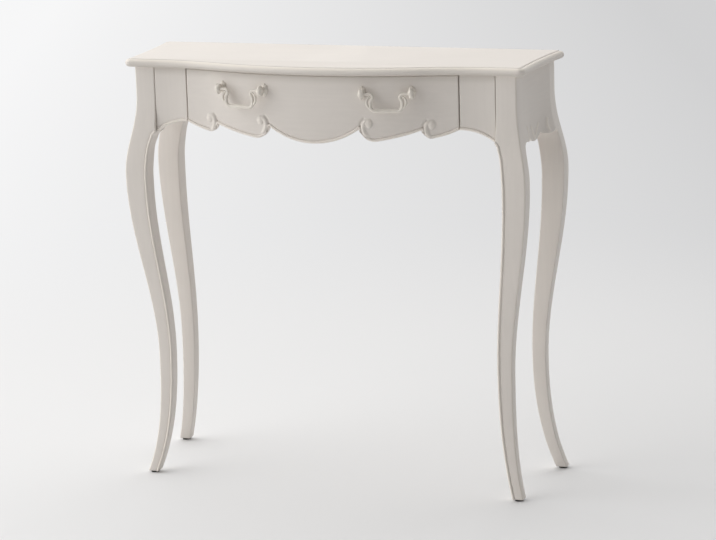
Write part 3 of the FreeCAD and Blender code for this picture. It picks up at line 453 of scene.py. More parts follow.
PAINT = (0.765, 0.715, 0.665)
# Crest colours here and for the pulls are worn paint and painted highlight; groove colours are dust and
# painted shade.
CREST = (0.86, 0.80, 0.72)
GROOVE = (0.50, 0.46, 0.41)
PULL_PAINT = (0.785, 0.735, 0.665)
PULL_CREST = (0.90, 0.86, 0.79)
PULL_GROOVE = (0.48, 0.43, 0.35)
RAW_PALE = (0.60, 0.45, 0.29)
RAW_DARK = (0.45, 0.31, 0.18)
STEEL_PALE = (0.66, 0.66, 0.67)
STEEL_DARK = (0.52, 0.52, 0.54)
PLASTIC_PALE = (0.050, 0.044, 0.040)
PLASTIC_DARK = (0.030, 0.027, 0.025)
PULL_GRAIN = (220.0, 220.0, 220.0)
STEEL_GRAIN = (400.0, 400.0, 400.0)
PLASTIC_GRAIN = (900.0, 900.0, 900.0)
WAYS = ("across", "along", "upright")

paint_x, paint_y, paint_z = [
    painted(f"paint_{way}", PAINT, CREST, GROOVE, drawn_out(axis, 5.0, 160.0), roughness=0.46, bump=0.12)
    for axis, way in enumerate(WAYS)]
raw_x, raw_y, raw_z = [
    plain_grain(f"raw_wood_{way}", RAW_PALE, RAW_DARK, drawn_out(axis, 7.0, 120.0), roughness=0.62,
                metallic=0.0, bump=0.25)
    for axis, way in enumerate(WAYS)]
pull_paint = painted("pull_cream", PULL_PAINT, PULL_CREST, PULL_GROOVE, PULL_GRAIN, roughness=0.36, bump=0.10)
steel = plain_grain("plated_steel", STEEL_PALE, STEEL_DARK, STEEL_GRAIN, roughness=0.36, metallic=1.0,
                    bump=0.05)
glide_plastic = plain_grain("glide_plastic", PLASTIC_PALE, PLASTIC_DARK, PLASTIC_GRAIN, roughness=0.55,
                            metallic=0.0, bump=0.08)


# Legs


def leg_lines(node, half_width, face, way, heights):
    """Inner and outer lines of a leg, across and then along, read from its solid as offsets outward from
    its post."""
    mesh = frame["nodes"][node].data
    points = np.array([v.co for v in mesh.vertices]) / MM
    edges = np.array([e.vertices[:] for e in mesh.edges])
    a, b = points[edges[:, 0]], points[edges[:, 1]]
    lines = []
    for z in heights:
        hit = (a[:, 2] - z) * (b[:, 2] - z) <= 0.0
        hit &= np.abs(a[:, 2] - b[:, 2]) > 1e-6
        t = ((z - a[hit, 2]) / (b[hit, 2] - a[hit, 2]))[:, None]
        cut = a[hit] + t * (b[hit] - a[hit])
        across = np.abs(cut[:, 0]) - half_width
        along = way * (cut[:, 1] - face)
        # The solid's bead stands on the inner half of the front face.
        plain = across > (across.min() + across.max()) / 2.0
        lines.append((across.min(), across.max(), along.min(), along[plain].max()))
    return np.array(lines).T


# Levels of a leg's sections: steps up the foot from the glide, then runs with their spacing.
FOOT_STEPS = np.array([0.0, 0.5, 1.2, 2.2, 4.0])
LEVEL_RUNS = (
    (12.0, 632.0, 7.0),
    (632.0, 652.0, 2.0),
    (652.0, 662.0, 0.75),
    (662.0, 674.0, 2.0),
    (676.0, UNDERSIDE, 9.0),
)
# Steps across a leg's front face from its inner edge
FACE_STEPS = np.array([0.0, 0.25, 0.7, 1.3, 2.0, 2.7, 3.4, 4.1, 4.7, 5.15, 5.6, 6.3, 7.2, 8.2, 10.0])
FACE_SHARE = 0.95
INNER_POINTS = 3
INNER_DROP = 1.2
CORNER_POINTS = 6
LEG_ARRIS = 3.2
LEG_SOFT = 2.2
LEG_CRISP = 0.3
CRISP_CLIMB = 12.0
FOOT_ROUND = 2.2
# Paler tones on the outer arrises of a leg: worn paint and painted highlight.
ARRIS_TONES = [0.15, 0.4, 0.6, 0.6, 0.4, 0.15]
SIDE_ARRIS_TONES = [0.0, 0.2, 0.3, 0.3, 0.2, 0.0]
# Below the spring of the arches the legs are a little fuller inside than their solids.
FULLER_START = 575.0
FULLER_CLIMB = 55.0
FULLER_END = 14.0
FULLER_ACROSS = 3.4
FULLER_ALONG = 4.5
# Above the spring the bead leaves the post.
BEAD_LEAVES = 6.0
BEAD_FADE = 3.0


def leg_heights():
    levels = np.concatenate([GLIDE + FOOT_STEPS, *[np.arange(*run) for run in LEVEL_RUNS], [UNDERSIDE]])
    return np.unique(np.round(levels, 3))


def panel_arch():
    """Lower edge of the right fixed panel from the drawer to the leg."""
    run = FRONT_HALF - POST - OPENING_HALF
    drop = APRON_Z - SPRING_Z
    angle = 2.0 * math.atan2(drop, run)
    radius = run / math.sin(angle)
    turn = np.linspace(0.0, angle, 40)
    return np.stack([OPENING_HALF + radius * np.sin(turn), APRON_Z - radius * (1.0 - np.cos(turn))], 1)


def corner(centre_a, centre_b, radius, start):
    """Quarter circle of a softened arris in the plane of a leg's section."""
    angles = math.radians(start) + np.linspace(0.0, math.pi / 2.0, CORNER_POINTS)
    return [(centre_a + radius * math.cos(t), centre_b + radius * math.sin(t)) for t in angles]


def make_leg(end, side, sign):
    name = f"{end}_{side}_leg"
    half_width, face, way = (FRONT_HALF, FRONT_Y, -1) if end == "front" else (REAR_HALF, BACK_Y, 1)
    heights = leg_heights()
    probe = np.clip(heights, GLIDE + 0.01, UNDERSIDE - 0.01)
    inner, outer, back, front = leg_lines(name, half_width, face, way, probe)
    fuller = smooth((heights - FULLER_START) / FULLER_CLIMB) * smooth((SPRING_Z - heights) / FULLER_END)
    inner = inner - FULLER_ACROSS * fuller
    back = back - FULLER_ALONG * fuller
    below = heights <= SPRING_Z
    arch = panel_arch()
    arch_line = np.stack([arch[:, 0] - half_width, arch[:, 1]], 1)
    edge = np.concatenate([arch_line, np.stack([inner[below], heights[below]], 1)[::-1]])
    bead_line = Line(edge, step=0.3)
    steps = FACE_STEPS[::-1]
    soft = edge_round(steps, LEG_SOFT)
    rows, tones = [], []
    for z, low, high, rear, fore in zip(heights, inner, outer, back, front):
        foot = max(0.0, GLIDE + FOOT_ROUND - z)
        pull_in = FOOT_ROUND - math.sqrt(max(0.0, FOOT_ROUND ** 2 - foot ** 2))
        low, high, rear, fore = low + pull_in, high - pull_in, rear + pull_in, fore - pull_in
        ring = corner(high - LEG_ARRIS, fore - LEG_ARRIS, LEG_ARRIS, 0.0)
        span = high - LEG_ARRIS - low
        a = low + np.minimum(steps, span * FACE_SHARE)
        rise, face_tone = soft, np.zeros(len(a))
        if end == "front":
            # The bead leaves the post where the panel's arch takes it over.
            above = smooth((z - SPRING_Z - BEAD_LEAVES) / BEAD_FADE)
            distance = bead_line.nearest(a, np.full_like(a, z))[0]
            rise = bead_height(distance) * (1.0 - above) + soft * above
            face_tone = relief_tone(rise)
        ring += [(p, fore + h) for p, h in zip(a, rise)]
        ring += [(low, b) for b in np.linspace(fore - LEG_SOFT - INNER_DROP, rear + LEG_SOFT, INNER_POINTS)]
        ring += corner(low + LEG_SOFT, rear + LEG_SOFT, LEG_SOFT, 180.0)
        # The side apron lies flush with the post, so the arris between them is left crisp.
        crisp = LEG_SOFT - (LEG_SOFT - LEG_CRISP) * float(smooth((z - SPRING_Z) / CRISP_CLIMB))
        ring += corner(high - crisp, rear + crisp, crisp, 270.0)
        rows.append([(sign * (half_width + p), face + way * q, z) for p, q in ring])
        tones += ARRIS_TONES + list(face_tone) + [0.0] * (INNER_POINTS + CORNER_POINTS) + SIDE_ARRIS_TONES
    count = len(rows[0])
    verts = np.array(rows).reshape(-1, 3)
    faces = grid_faces(len(rows), count, close_cols=True)
    faces += [list(range(count)), list(range(len(verts) - count, len(verts)))]
    piece(name + "_carved", verts, faces, paint_z, "carcass", "painted_wood", [name], tones, sharp=46.0)


for leg_end in ("front", "rear"):
    for side_name, side_sign in SIDES:
        make_leg(leg_end, side_name, side_sign)


# Fixed panels and drawer front


# Steps of a board's points from its lower edge, from its top and from its ends
ROW_STEPS = np.array([0.0, 0.25, 0.6, 1.1, 1.8, 2.7, 3.6, 4.3, 4.8, 5.15, 5.6, 6.3, 7.2, 8.4])
TOP_STEPS = np.array([4.0, 2.2, 1.2, 0.6, 0.2, 0.0])
END_STEPS = np.array([0.0, 0.2, 0.6, 1.2, 2.2])
END_MARGIN = 3.4
BOARD_STEP = 1.2
SAWN = 9.0
# The back of a board is cut away inside its front edge, at the first of some tries that is clear of it.
BACK_INSET = 7.0
BACK_LIMIT = 3.0 * BACK_INSET
BACK_TRIES = 43
BACK_SLACK = 0.01


def board_rows(lower, upper, middle, middle_count, upper_count):
    """Heights of a board's points: close together at its lower edge, then up to a level, then to its top."""
    close = lower + ROW_STEPS[:, None]
    t = np.linspace(0.0, 1.0, middle_count + 1)[1:, None]
    carved = close[-1] + (middle - close[-1]) * t
    s = np.linspace(0.0, 1.0, upper_count + 1)[1:-1, None]
    plain = middle + (upper - TOP_STEPS[0] - middle) * s * np.ones_like(lower)
    return np.concatenate([close, carved, plain, upper - TOP_STEPS[:, None] * np.ones_like(lower)])


def edge_columns(start, end, step):
    """Places along a board, closer together at its two ends."""
    inner = np.linspace(start + END_MARGIN, end - END_MARGIN, int((end - start) / step))
    return np.concatenate([start + END_STEPS, inner, end - END_STEPS[::-1]])


def back_edge(line, x, lower):
    """Lower edge of a board's back, cut away inside its scalloped front edge."""
    climb = np.linspace(BACK_INSET, BACK_LIMIT, BACK_TRIES)[:, None]
    z = lower + climb
    clear = line.nearest(np.broadcast_to(x, z.shape), z)[0] >= BACK_INSET - BACK_SLACK
    first = np.where(clear.any(axis=0), clear.argmax(axis=0), len(climb) - 1)
    return lower + climb[first, 0]


PANEL_GAP = 0.7
PANEL_SOFT = 1.2
PANEL_CARVED_Z = 705.0
# The bead's line runs on from the arch down the leg: across and down.
LEG_RUN = 30.0
LEG_DROP = 34.0


def make_panel(side, sign):
    arch = panel_arch()
    start, end = OPENING_HALF, FRONT_HALF - POST - PANEL_GAP
    x = edge_columns(start, end, BOARD_STEP)
    lower = np.interp(x, arch[:, 0], arch[:, 1])
    z = board_rows(lower, UNDERSIDE, PANEL_CARVED_Z, middle_count=8, upper_count=7)
    u = np.broadcast_to(x, z.shape)
    beyond = np.array([[end + LEG_RUN, SPRING_Z - LEG_DROP]])
    distance = Line(np.concatenate([arch, beyond])).nearest(u, z)[0]
    rise = bead_on_board(distance) + edge_round(u - start, PANEL_SOFT) + edge_round(end - u, PANEL_SOFT)
    sawn = np.stack([sign * x, front_y(x, -SAWN), lower], 1)[None]
    front = np.concatenate([sawn, np.stack([sign * u, front_y(u, rise - PANEL_RECESS), z], 2)])
    back_y = front_y(x, -PANEL_RECESS - BOARD)
    back = np.stack([np.stack([sign * x, back_y, level], 1)
                     for level in (lower + BACK_INSET, np.full_like(x, UNDERSIDE))])
    verts, faces = board(front, back)
    # The tone adds painted shade below the top's moulding to the carving's tone.
    tone = board_tone(relief_tone(rise) + painted_shade_below_top(z))
    piece(f"front_{side}_panel_carved", verts, faces, paint_z, "carcass", "painted_wood",
          [f"front_{side}_panel"], tone)


for side_name, side_sign in SIDES:
    make_panel(side_name, side_sign)

# Scalloped lower edge of the drawer: shares of its half width, and drops below the apron line.
INNER_CUSP = (0.329 * DRAWER_END, APRON_Z + 3.0)
INNER_LOW = (0.469 * DRAWER_END, APRON_Z - 18.7)
OUTER_CUSP = (0.751 * DRAWER_END, APRON_Z)
OUTER_LOW = (0.835 * DRAWER_END, APRON_Z - 14.5)
DRAWER_TIP = (DRAWER_END, APRON_Z)
CROWN = (0.0, APRON_Z - 25.0)
# Middle of a lobe's steep side and of its long side, as shares of the way across and of the way in height
STEEP = (0.25, 0.72)
GENTLE = (0.50, 0.40)


def bent(start, finish, shares):
    """Arc from one point of the edge to the next over a middle given as shares of the way."""
    middle = [a + (b - a) * share for a, b, share in zip(start, finish, shares)]
    return arc_through(start, middle, finish, 40)


def drawer_edge():
    """Lower edge from the left end to the right end, as one line per lobe."""
    right = [
        bent(INNER_CUSP, INNER_LOW, STEEP),
        bent(INNER_LOW, OUTER_CUSP, GENTLE),
        bent(OUTER_CUSP, OUTER_LOW, STEEP),
        bent(OUTER_LOW, DRAWER_TIP, GENTLE),
    ]
    flip = np.array([-1.0, 1.0])
    left = [run[::-1] * flip for run in right[::-1]]
    crown = arc_through((-INNER_CUSP[0], INNER_CUSP[1]), CROWN, INNER_CUSP, 120)
    return [chain(left[0:2]), chain(left[2:4]), crown, chain(right[0:2]), chain(right[2:4])]


# A scroll runs round its bulb like the tail of a comma: degrees from the cusp's side, distance from the bulb.
SPIRAL_ANGLES = np.array([-94.0, -70.0, -47.0, -20.0, 10.0, 40.0])
SPIRAL_RADII = np.array([26.0, 20.0, 14.5, 10.5, 8.0, 6.0])
SPIRAL_POINTS = 260
STRAND_HALF = 5.6
STRAND_RISE = 2.5
TAIL_START = 0.15
TAIL_SHARE = 0.45
BULB_HALF = 6.8
BULB_TALL = 8.8
BULB_RISE = 3.1
BULB_ROUND = 0.7
RIM_OFFSET = 6.2
RIM_HALF = 4.2
RIM_DEPTH = 1.5
SCROLL_SETBACK = 18.0
SCROLL_RISE = 10.5
SCROLL_REACH = 30.0
SCROLL_COVER = 0.8
# Share of the crest and quirk tones (worn paint, dust, painted highlight and painted shade) kept on the
# scrolls.
SCROLL_TONE_SHARE = 0.45
# Beside a cusp the bead fades within a reach of it, and a hollow lies along the edge.
CUSP_REACH = 17.0
CUSP_FADE = 9.0
CUSP_HOLLOW = 1.0
HOLLOW_REACH = 9.0
HOLLOW_FADE = 4.0
# Extra columns of points beside a cusp
CUSP_STEPS = (-0.6, -0.2, 0.0, 0.2, 0.6, 1.0, 1.5)
DRAWER_STEP = 1.15
DRAWER_SOFT = 1.5
DRAWER_CARVED_Z = 718.0
EDGE_REACH = 40.0
FAR_OFF = 99.0
NO_BEAD = -9.0


def scroll(u, z, centre, way):
    """Relief and hollow of one scroll: the bead of a lobe leaves the edge, curls up and swells into a bulb.
    The way is the side, -1 or 1, of the cusp it curls beside."""
    angles = np.linspace(SPIRAL_ANGLES[0], SPIRAL_ANGLES[-1], SPIRAL_POINTS)
    radii = np.interp(angles, SPIRAL_ANGLES, SPIRAL_RADII)
    turn = np.radians(angles)
    toward = np.stack([way * np.cos(turn), np.sin(turn)], 1)
    distance, share = Line(centre + radii[:, None] * toward).nearest(u, z)
    crest = STRAND_RISE * smooth(TAIL_START + share / TAIL_SHARE)
    from_rim = Line(centre + (radii[:, None] + RIM_OFFSET) * toward).nearest(u, z)[0]
    bulb = np.clip(1.0 - ((u - centre[0]) / BULB_HALF) ** 2 - ((z - centre[1]) / BULB_TALL) ** 2, 0.0, 1.0)
    raised = np.maximum(swell(distance, STRAND_HALF, crest), BULB_RISE * bulb ** BULB_ROUND)
    return raised, -swell(from_rim, RIM_HALF, RIM_DEPTH)


def make_drawer_front():
    lobes = drawer_edge()
    edge = chain(lobes)
    columns = edge_columns(-DRAWER_END, DRAWER_END, DRAWER_STEP)
    beside = [s * (c[0] + d) for s in (-1, 1) for c in (INNER_CUSP, OUTER_CUSP) for d in CUSP_STEPS]
    x = np.unique(np.round(np.concatenate([columns, beside]), 4))
    order = np.argsort(edge[:, 0], kind="stable")
    lower = np.interp(x, edge[order, 0], edge[order, 1])
    z = board_rows(lower, DRAWER_TOP, DRAWER_CARVED_Z, middle_count=36, upper_count=8)
    u = np.broadcast_to(x, z.shape)
    near = (z - lower) < EDGE_REACH
    cusps = [(-1, OUTER_CUSP), (-1, INNER_CUSP), None, (1, INNER_CUSP), (1, OUTER_CUSP)]
    beads = np.full(z.shape, NO_BEAD)
    quirks = np.zeros(z.shape)
    for lobe, at in zip(lobes, cusps):
        distance = np.full(z.shape, FAR_OFF)
        distance[near] = Line(lobe).nearest(u[near], z[near])[0]
        height = bead_on_board(distance)
        if at:
            # Beside its cusp a lobe has a hollow instead of the bead, which has left the edge there.
            sign, cusp = at
            fade = smooth((CUSP_REACH - np.hypot(u - sign * cusp[0], z - cusp[1])) / CUSP_FADE)
            hollow = CUSP_HOLLOW * fade * smooth((HOLLOW_REACH - distance) / HOLLOW_FADE)
            height = height * (1.0 - fade) - hollow
        beads = np.where(distance < BEAD_WIDTH, np.maximum(beads, height), beads)
        quirks = np.minimum(quirks, np.where(distance < BEAD_WIDTH, 0.0, height))
    rise = np.where(beads > NO_BEAD, beads, quirks)
    tone_share = np.ones(z.shape)
    for sign in (-1, 1):
        for cusp in (INNER_CUSP, OUTER_CUSP):
            centre = (sign * (cusp[0] + SCROLL_SETBACK), cusp[1] + SCROLL_RISE)
            around = np.hypot(u - centre[0], z - centre[1]) < SCROLL_REACH
            raised, hollow = scroll(u[around], z[around], centre, -sign)
            cover = smooth(raised / SCROLL_COVER)
            flat = np.where(beads[around] > 0.0, rise[around], rise[around] + hollow)
            rise[around] = flat * (1.0 - cover) + raised
            tone_share[around] = np.where(cover > 0.0, SCROLL_TONE_SHARE, 1.0)
    ends = edge_round(DRAWER_END - np.abs(u), DRAWER_SOFT) + edge_round(DRAWER_TOP - z, DRAWER_SOFT)
    sawn = np.stack([x, front_y(x, -SAWN), lower], 1)[None]
    front = np.concatenate([sawn, np.stack([u, front_y(u, rise + ends), z], 2)])
    back_low = back_edge(Line(edge), x, lower)
    back = np.stack([np.stack([x, front_y(x, -BOARD), level], 1)
                     for level in (back_low, np.full_like(x, DRAWER_TOP))])
    verts, faces = board(front, back)
    # The tone adds painted shade below the top's moulding to the carving's tone.
    tone = board_tone(relief_tone(rise) * tone_share + painted_shade_below_top(z))
    piece("drawer_front_carved", verts, faces, paint_x, "drawer", "painted_wood", ["drawer_front"], tone)


make_drawer_front()


# Side aprons


SIDE_SUNK = 0.3
SIDE_SOFT = 2.6
SIDE_BLEND = 45.0
SIDE_CARVED_Z = 700.0
SIDE_NOTCH = 0.30 * SIDE_DEPTH
SIDE_TOP = SPRING_Z + 1.0
SIDE_BRACKET = SPRING_Z - 4.0
SIDE_CROWN = SPRING_Z - 11.0
# Levels at which the knees of the legs are read
KNEE_LEVELS = np.linspace(SPRING_Z - 12.0, UNDERSIDE - 0.5, 60)
# Carved strokes of the front half: distance from the front post, height
SIDE_STROKES = [
    [(16.0, 662.0), (19.0, 668.0), (19.5, 676.0), (17.0, 684.0)],
    [(64.5, 657.0), (69.0, 663.0), (74.0, 671.0), (80.0, 679.0)],
]
STROKE_HALF = 7.0
STROKE_TAPER = 2.0
STROKE_RISE = 1.8


def side_edge():
    """Lower edge from the front post to the rear post, against the distance from the front post."""
    half, far = SIDE_NOTCH / 2.0, SIDE_DEPTH - SIDE_NOTCH
    return chain([
        arc_through((0.0, SPRING_Z), (half, SIDE_BRACKET), (SIDE_NOTCH, SIDE_TOP), 40),
        arc_through((SIDE_NOTCH, SIDE_TOP), (SIDE_DEPTH / 2.0, SIDE_CROWN), (far, SIDE_TOP), 60),
        arc_through((far, SIDE_TOP), (SIDE_DEPTH - half, SIDE_BRACKET), (SIDE_DEPTH, SPRING_Z), 40),
    ])


def make_side_apron(side, sign):
    flare = REAR_HALF - FRONT_HALF
    sweep = (SIDE_DEPTH ** 2 + flare ** 2) / (2.0 * flare)
    start = FRONT_Y + POST
    along = edge_columns(0.0, SIDE_DEPTH, BOARD_STEP)
    edge = side_edge()
    lower = np.interp(along, edge[:, 0], edge[:, 1])
    z = board_rows(lower, UNDERSIDE, SIDE_CARVED_Z, middle_count=26, upper_count=7)
    u = np.broadcast_to(along, z.shape)
    line = Line(edge)
    rise = edge_round(line.nearest(u, z)[0], SIDE_SOFT)
    for stroke in SIDE_STROKES:
        for mirrored in (False, True):
            points = [(SIDE_DEPTH - a if mirrored else a, b) for a, b in stroke]
            apart, share = Line(points).nearest(u, z)
            rise = np.maximum(rise, swell(apart, STROKE_HALF - STROKE_TAPER * share, STROKE_RISE))
    # Beside the posts the board swells with the knees, so that post and board read as one surface.
    front_knee = leg_lines(f"front_{side}_leg", FRONT_HALF, FRONT_Y, -1, KNEE_LEVELS)[1]
    rear_knee = leg_lines(f"rear_{side}_leg", REAR_HALF, BACK_Y, 1, KNEE_LEVELS)[1]
    follow = np.interp(z, KNEE_LEVELS, front_knee) * (1.0 - smooth(u / SIDE_BLEND))
    follow += np.interp(z, KNEE_LEVELS, rear_knee) * (1.0 - smooth((SIDE_DEPTH - u) / SIDE_BLEND))
    radius = sweep - rise - follow
    centre_x = FRONT_HALF - SIDE_SUNK + sweep

    def face_x(reach, at):
        return centre_x - np.sqrt(np.maximum(reach ** 2 - at ** 2, 0.0))

    sawn = np.stack([sign * face_x(sweep + SAWN, along), start + along, lower], 1)[None]
    front = np.concatenate([sawn, np.stack([sign * face_x(radius, u), start + u, z], 2)])
    back_x = sign * face_x(sweep + SIDE_BOARD, along)
    back = np.stack([np.stack([back_x, start + along, level], 1)
                     for level in (back_edge(line, along, lower), np.full_like(along, UNDERSIDE))])
    verts, faces = board(front, back)
    piece(f"{side}_side_apron_carved", verts, faces, paint_y, "carcass", "painted_wood",
          [f"{side}_side_apron"], board_tone(relief_tone(rise)))


for side_name, side_sign in SIDES:
    make_side_apron(side_name, side_sign)


# Moulded top


# Moulding from the underside round the nose to the raised field: distance in from the edge, height, tone. The
# tone is painted shade on the under-turn and in the quirk, and worn paint with painted highlight on the upper
# round.
TOP_PROFILE = [
    (9.0, 785.0, 0.0), (6.4, 785.0, 0.0), (5.0, 785.15, -0.6), (3.6, 785.7, -0.6), (2.3, 786.7, -0.55),
    (1.2, 788.1, -0.5), (0.45, 789.8, -0.35), (0.05, 791.4, -0.15), (0.0, 792.4, 0.0), (0.3, 793.7, 0.2),
    (1.0, 795.2, 0.5), (2.1, 796.7, 0.8), (3.5, 797.9, 0.9), (5.0, 798.7, 0.9), (6.4, 798.9, 0.8),
    (7.3, 798.7, 0.4), (8.0, 798.2, -0.1), (8.5, 797.8, -0.4), (8.9, 797.8, -0.4), (9.2, 798.2, -0.2),
    (9.5, 799.2, 0.2), (10.1, 799.8, 0.1), (11.0, 800.0, 0.0),
]


def top_right(inset):
    """Right half of the top's outline, from the middle of the front to the back edge."""
    side = FRONT_HALF + TOP_SIDE
    front = FRONT_Y - TOP_FRONT
    x = np.concatenate([np.linspace(0.0, BOW_RUN, 90), np.linspace(BOW_RUN, side - TOP_CORNER, 24)[1:]])
    run = np.stack([x, front_y(x, TOP_FRONT - inset)], 1)
    turn = np.linspace(-math.pi / 2.0, 0.0, 14)[1:]
    radius = TOP_CORNER - inset
    bend_x = side - TOP_CORNER + radius * np.cos(turn)
    bend_y = front + TOP_CORNER + radius * np.sin(turn)
    start = front + TOP_FLARE_START
    back = BACK_Y + TOP_BACK
    depth = back - start
    sweep = (depth ** 2 + TOP_FLARE ** 2) / (2.0 * TOP_FLARE)
    y = np.linspace(start, back, 40)
    flare = np.stack([side + sweep - np.sqrt((sweep + inset) ** 2 - (y - start) ** 2), y], 1)
    return np.concatenate([run, np.stack([bend_x, bend_y], 1), flare])


def make_top():
    rows = []
    for inset, z, _ in TOP_PROFILE:
        right = top_right(inset)
        left = right[:0:-1] * np.array([-1.0, 1.0])
        outline = np.concatenate([left, right])
        rows.append(np.column_stack([outline, np.full(len(outline), z)]))
    count = len(rows[0])
    verts = np.concatenate(rows)
    starts = [i * count for i in range(len(rows))]
    faces = grid_faces(len(rows), count)
    faces.append(list(range(count)))
    faces.append(list(range(starts[-1], starts[-1] + count)))
    faces.append(starts + [start + count - 1 for start in reversed(starts)])
    tone = np.repeat([level for _, _, level in TOP_PROFILE], count)
    piece("tabletop_moulded", verts, faces, paint_x, "carcass", "painted_wood", ["tabletop"], tone,
          sharp=50.0)


make_top()


# Bail pulls


POST_REACH = 45.0
STANDOFF = 14.0
FACE_SAG = POST_REACH ** 2 / (2.0 * MIDDLE_RADIUS)
PULL_SHARP = 60.0


def pull_frame(name):
    """Turns points beside a pull, x along it, -y outward, z up from its pivots, into the shared frame."""
    joint = [j for j in frame["joints"] if j["name"] == name][0]
    across = -Vector(joint["axis"]).normalized()
    up = Vector((0.0, 0.0, 1.0))
    inward = up.cross(across)
    origin = Vector(joint["pos_m"]) / MM
    basis = np.array([across, inward, up])
    return lambda points: np.asarray(points, float) @ basis + np.array(origin)


# Turned shape of a post from the face outward: radius and place along its axis, ending at the knob's tip.
POST_PROFILE = [
    (8.6, 0.0), (9.0, 1.0), (8.8, 2.2), (7.4, 3.4), (6.0, 3.9), (5.0, 4.4), (4.4, 5.4), (4.2, 7.0),
    (4.6, 8.6), (5.6, 10.0), (6.6, 11.4), (7.2, 13.0), (7.5, 15.2), (7.4, 17.2), (6.9, 19.2), (5.9, 21.0),
    (4.4, 22.4), (2.4, 23.3), (0.0, 23.5),
]
POST_LENGTH = POST_PROFILE[-1][1]
POST_STEP = 0.75
POST_SIDES = 40
POST_WIDE = 0.86
POST_TALL = 1.38
POST_TWIST = 0.5
SEAT_DEPTH = 0.7
ROSETTE_REACH = 4.0
ROSETTE_LOBES = 8.0
ROSETTE_WAVE = 0.06
KNOB_REACH = 7.1
KNOB_START = 8.0
KNOB_CLIMB = 5.0
FLUTES = 5.0
FLUTE_DEPTH = 0.17


def make_post(x, twist):
    """Upright rosette against the face, a neck, and a knob with flutes that wind round it."""
    seat = STANDOFF + FACE_SAG + SEAT_DEPTH
    rows = resampled(POST_PROFILE, POST_STEP)
    verts = []
    for radius, reach in rows:
        share = reach / POST_LENGTH
        knob = float(smooth((reach - KNOB_START) / KNOB_CLIMB))
        y = seat - reach * (seat + KNOB_REACH) / POST_LENGTH
        for k in range(POST_SIDES):
            angle = 2.0 * math.pi * k / POST_SIDES
            if reach < ROSETTE_REACH:
                wave = 1.0 + ROSETTE_WAVE * math.cos(ROSETTE_LOBES * angle) - ROSETTE_WAVE
            else:
                flute = 0.5 - 0.5 * math.cos(FLUTES * angle + twist * share * FLUTES)
                wave = 1.0 - FLUTE_DEPTH * knob * flute
            r = radius * wave
            verts.append((x + POST_WIDE * r * math.cos(angle), y, POST_TALL * r * math.sin(angle)))
    faces = grid_faces(len(rows), POST_SIDES, close_cols=True)
    return np.array(verts), faces + [list(range(POST_SIDES))]


# A bail in its own plane: pin, swan neck, shoulder, upright arm and grip
BAIL_DROP = 31.0
PIN_END = 46.0
NECK_X = 31.0
NECK_BEND = 6.0
NECK_TURN = math.radians(130.0)
SHOULDER_BEND = 10.0
SHOULDER_TURN = math.radians(40.0)
GRIP_BEND = 9.0
BAIL_STEP = 0.8
BAIL_SIDES = 14
BAIL_NORMAL = (0.0, 1.0, 0.0)
# Thickness of a bail: its pins, the swell down its arms and the knop in the middle of its grip
BAIL_THIN = 2.5
BAIL_SWELL = 0.7
SWELL_PACE = 3.0
KNOP_RISE = 0.45
KNOP_HALF = 5.0
KNOP_START = 0.9
KNOP_PACE = 10.0
# Second strand beside each arm
CURL = ((28.5, -4.0), (35.4, -15.0), (28.0, -26.5))
CURL_POINTS = 26
CURL_SIDES = 10
CURL_THIN = 1.4
CURL_SWELL = 1.1
CURL_FORWARD = -0.6


def bail_path():
    """Right half of the bail from its pin to the middle of the grip, in its own plane."""
    neck = np.array([NECK_X, 0.0])

    def on_neck(turn):
        return neck + np.array([-NECK_BEND * math.sin(turn), -NECK_BEND * (1.0 - math.cos(turn))])

    neck_end = on_neck(NECK_TURN)
    centre = neck_end - SHOULDER_BEND * np.array([math.cos(SHOULDER_TURN), math.sin(SHOULDER_TURN)])

    def on_shoulder(turn):
        return centre + SHOULDER_BEND * np.array([math.cos(turn), math.sin(turn)])

    shoulder = on_shoulder(0.0)
    low = np.array([shoulder[0], GRIP_BEND - BAIL_DROP])
    diagonal = GRIP_BEND * math.sqrt(0.5)
    turn_mid = np.array([shoulder[0] - GRIP_BEND + diagonal, GRIP_BEND - BAIL_DROP - diagonal])
    grip = np.array([shoulder[0] - GRIP_BEND, -BAIL_DROP])
    return chain([
        np.array([[PIN_END, 0.0], neck]),
        arc_through(neck, on_neck(NECK_TURN / 2.0), neck_end, 16),
        arc_through(neck_end, on_shoulder(SHOULDER_TURN / 2.0), shoulder, 12),
        np.array([shoulder, low]),
        arc_through(low, turn_mid, grip, 14),
        np.array([grip, [0.0, -BAIL_DROP]]),
    ])


def make_bail(side):
    at = pull_frame(f"{side}_bail_swing")
    half = resampled(bail_path(), BAIL_STEP)
    whole = np.concatenate([half, half[-2::-1] * np.array([-1.0, 1.0])])
    points = np.column_stack([whole[:, 0], np.zeros(len(whole)), whole[:, 1]])
    drop = -whole[:, 1] / BAIL_DROP
    knop = KNOP_RISE * np.exp(-(whole[:, 0] / KNOP_HALF) ** 2) * smooth((drop - KNOP_START) * KNOP_PACE)
    radii = BAIL_THIN + BAIL_SWELL * smooth(drop * SWELL_PACE) + knop
    parts = [tube(points, radii, BAIL_SIDES, BAIL_NORMAL)]
    for way in (-1.0, 1.0):
        curl = arc_through(*[(way * a, b) for a, b in CURL], CURL_POINTS)
        curl_points = np.column_stack([curl[:, 0], np.full(len(curl), CURL_FORWARD), curl[:, 1]])
        thick = CURL_THIN + CURL_SWELL * np.sin(np.linspace(0.0, math.pi, len(curl)))
        parts.append(tube(curl_points, thick, CURL_SIDES, BAIL_NORMAL))
    verts, faces = joined(parts)
    piece(f"{side}_bail_cast", at(verts), faces, pull_paint, f"{side}_bail", "pull_paint", [f"{side}_bail"],
          sharp=PULL_SHARP)


def make_posts(side):
    at = pull_frame(f"{side}_bail_swing")
    verts, faces = joined([make_post(-POST_REACH, POST_TWIST), make_post(POST_REACH, -POST_TWIST)])
    piece(f"{side}_handle_posts_cast", at(verts), faces, pull_paint, "drawer", "pull_paint",
          [f"{side}_handle_posts"], sharp=PULL_SHARP)


for side_name, _ in SIDES:
    make_bail(side_name)
    make_posts(side_name)


# Materials of the solids that stay as they are


